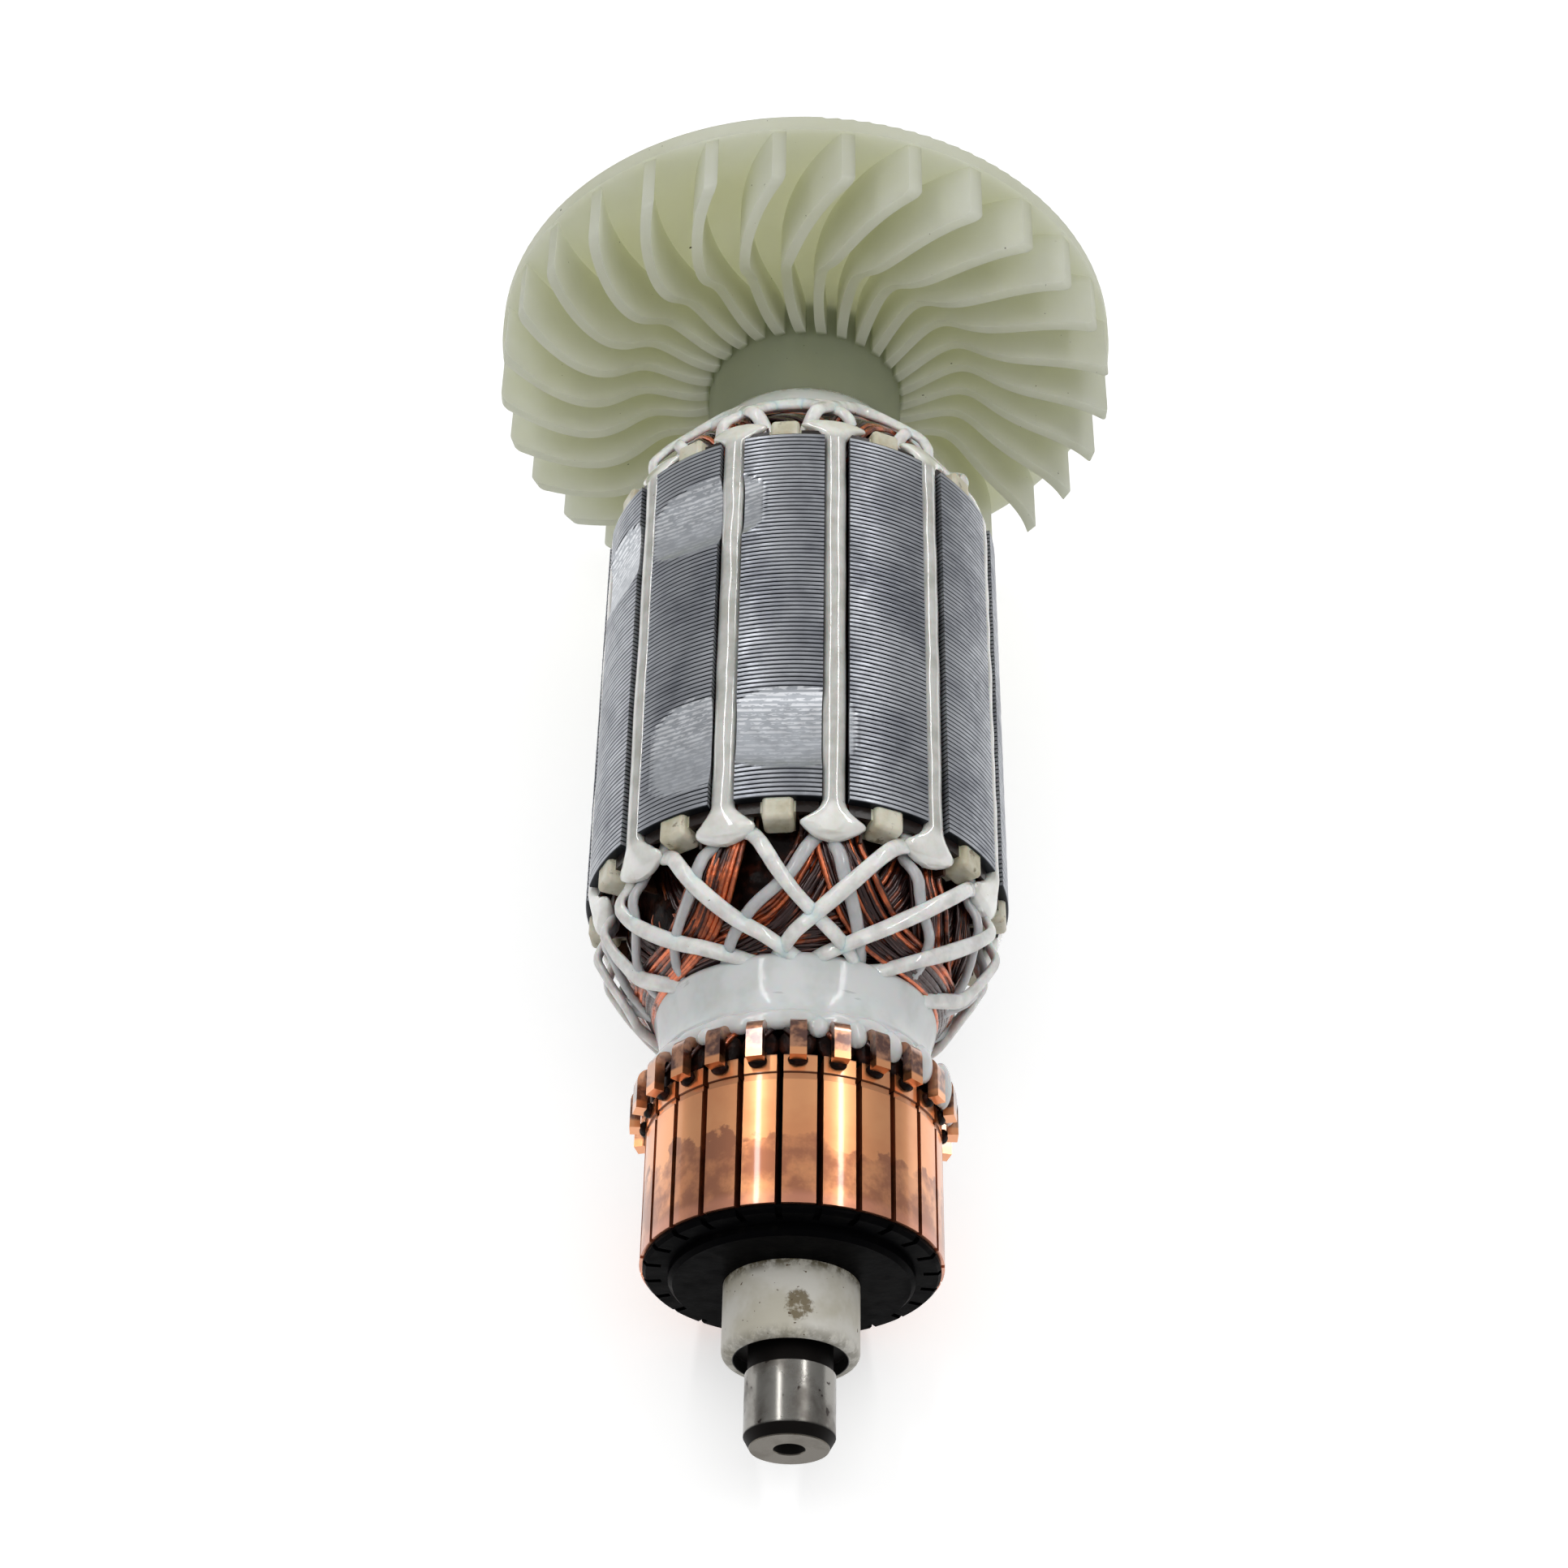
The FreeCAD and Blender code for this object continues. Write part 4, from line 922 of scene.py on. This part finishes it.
def dropGrid(angle, radius, station, out, across, along, seed):
    # Ellipsoid of three half sizes, uneven by a few hundredths
    polar = np.linspace(0.02, math.pi - 0.02, hook["dropRows"])[:, None]
    turn = np.linspace(0, 2 * math.pi, hook["dropColumns"], endpoint=False)[None, :]
    uneven = 1 + 0.08 * waves(polar * 2, turn, seed, 0.8)
    outward = radius + out * np.sin(polar) * np.cos(turn) * uneven
    sideways = across * np.sin(polar) * np.sin(turn) * uneven
    lengthwise = along * np.cos(polar) * uneven
    return toRow(outward, angle + np.degrees(sideways / radius), station + lengthwise), False


def makeHookVarnishAndShade():
    # Two near black drops for each hook, partly varnish and partly painted shade: one under its free end and
    # one round its root
    grids = []
    for k in range(commutator["bars"]):
        angle = commutator["hookPhase"] + barPitch * k
        grids.append(dropGrid(angle, *underHook, k))
        grids.append(dropGrid(angle, *besideHook, k + 40))
    makePiece("hook_varnish_and_shade", grids, varnishAndShade)


def makeResinDrops():
    # Drops of resin that hang from the dome between the hooks
    grids = [dropGrid(*drop, seed) for seed, drop in enumerate(resinDrops)]
    makePiece("resin_drops", grids, whiteResin)


makeHookWires()
makeHookVarnishAndShade()
makeResinDrops()
print("stage: hooks ready")


# Stage: a pale floor that reads as white to the camera, and soft studio light with two ceiling tubes

studio = dict(horizon=0.4, zenith=0.5, floorGrey="#e6e6e6", floorGlow=0.5, tubePower=1.1, tubeWidth=0.04,
              tubeLength=0.8, tubeAway=0.61, tubeOn=0.36, leftTurned=-28.0, rightTurned=34.5, fillPower=1.4,
              fillWide=0.9, fillDeep=0.62, floorHalf=2.5)


def makeFloor():
    # A matt square that also glows for rays seen by the camera or a mirror: matt + seen * glow
    material = bpy.data.materials.new("studio_floor")
    material.use_nodes = True
    tree = material.node_tree
    tree.nodes.clear()
    add = functools.partial(addNode, tree)
    seen = add("MAXIMUM", add("MAXIMUM", add("cameraRay"), add("glossyRay")), add("transmissionRay"))
    glow = add("emission", add("MULTIPLY", seen, studio["floorGlow"]))
    both = add("bothShaders", add("diffuse", studio["floorGrey"]), glow)
    setInputs(tree.nodes.new("ShaderNodeOutputMaterial"), {"Surface": both})
    half = studio["floorHalf"]
    mesh = bpy.data.meshes.new("studio_floor")
    corners = [(-half, -half, 0), (half, -half, 0), (half, half, 0), (-half, half, 0)]
    mesh.from_pydata(corners, [], [(0, 1, 2, 3)])
    mesh.materials.append(material)
    floor = bpy.data.objects.new("studio_floor", mesh)
    bpy.context.scene.collection.objects.link(floor)


def addAreaLight(name, place, along, away, sizeX, sizeY, power):
    # A rectangle at place with its second side along one direction, which shines against the direction away
    data = bpy.data.lights.new(name, "AREA")
    data.shape = "RECTANGLE"
    data.size = sizeX
    data.size_y = sizeY
    data.energy = power
    lamp = bpy.data.objects.new(name, data)
    turn = Matrix((np.cross(along, away), along, away)).transposed().to_4x4()
    lamp.matrix_world = Matrix.Translation(Vector(place)) @ turn
    bpy.context.scene.collection.objects.link(lamp)


makeFloor()
world = bpy.data.worlds.new("studio")
world.use_nodes = True
addToWorld = functools.partial(addNode, world.node_tree)
upward = addToWorld("zOf", addToWorld("direction"))
skyGlow = addToWorld("ramp", upward, 0, 1, studio["horizon"], studio["zenith"])
setInputs(world.node_tree.nodes["Background"], {"Color": "#ffffff", "Strength": skyGlow})
bpy.context.scene.world = world
aimPoint = toRow(0.0, 0.0, 24.0)
# each tube lies along the shaft: out from its line at the tube's angle, and on past the commutator
for name, turned in (("tube_left", studio["leftTurned"]), ("tube_right", studio["rightTurned"])):
    way = outwardAt(np.array(turned))
    place = aimPoint + way * studio["tubeAway"] + shaftWay * studio["tubeOn"]
    addAreaLight(name, place, shaftWay, way, studio["tubeWidth"], studio["tubeLength"], studio["tubePower"])
# its far edge stays short of what the top of the commutator mirrors
addAreaLight("fill_top", (0.1, -0.34, 1.0), (0, 1, 0), (0, 0, 1), studio["fillWide"], studio["fillDeep"],
             studio["fillPower"])

bpy.context.scene.view_settings.view_transform = "Standard"
print("stage: light ready")
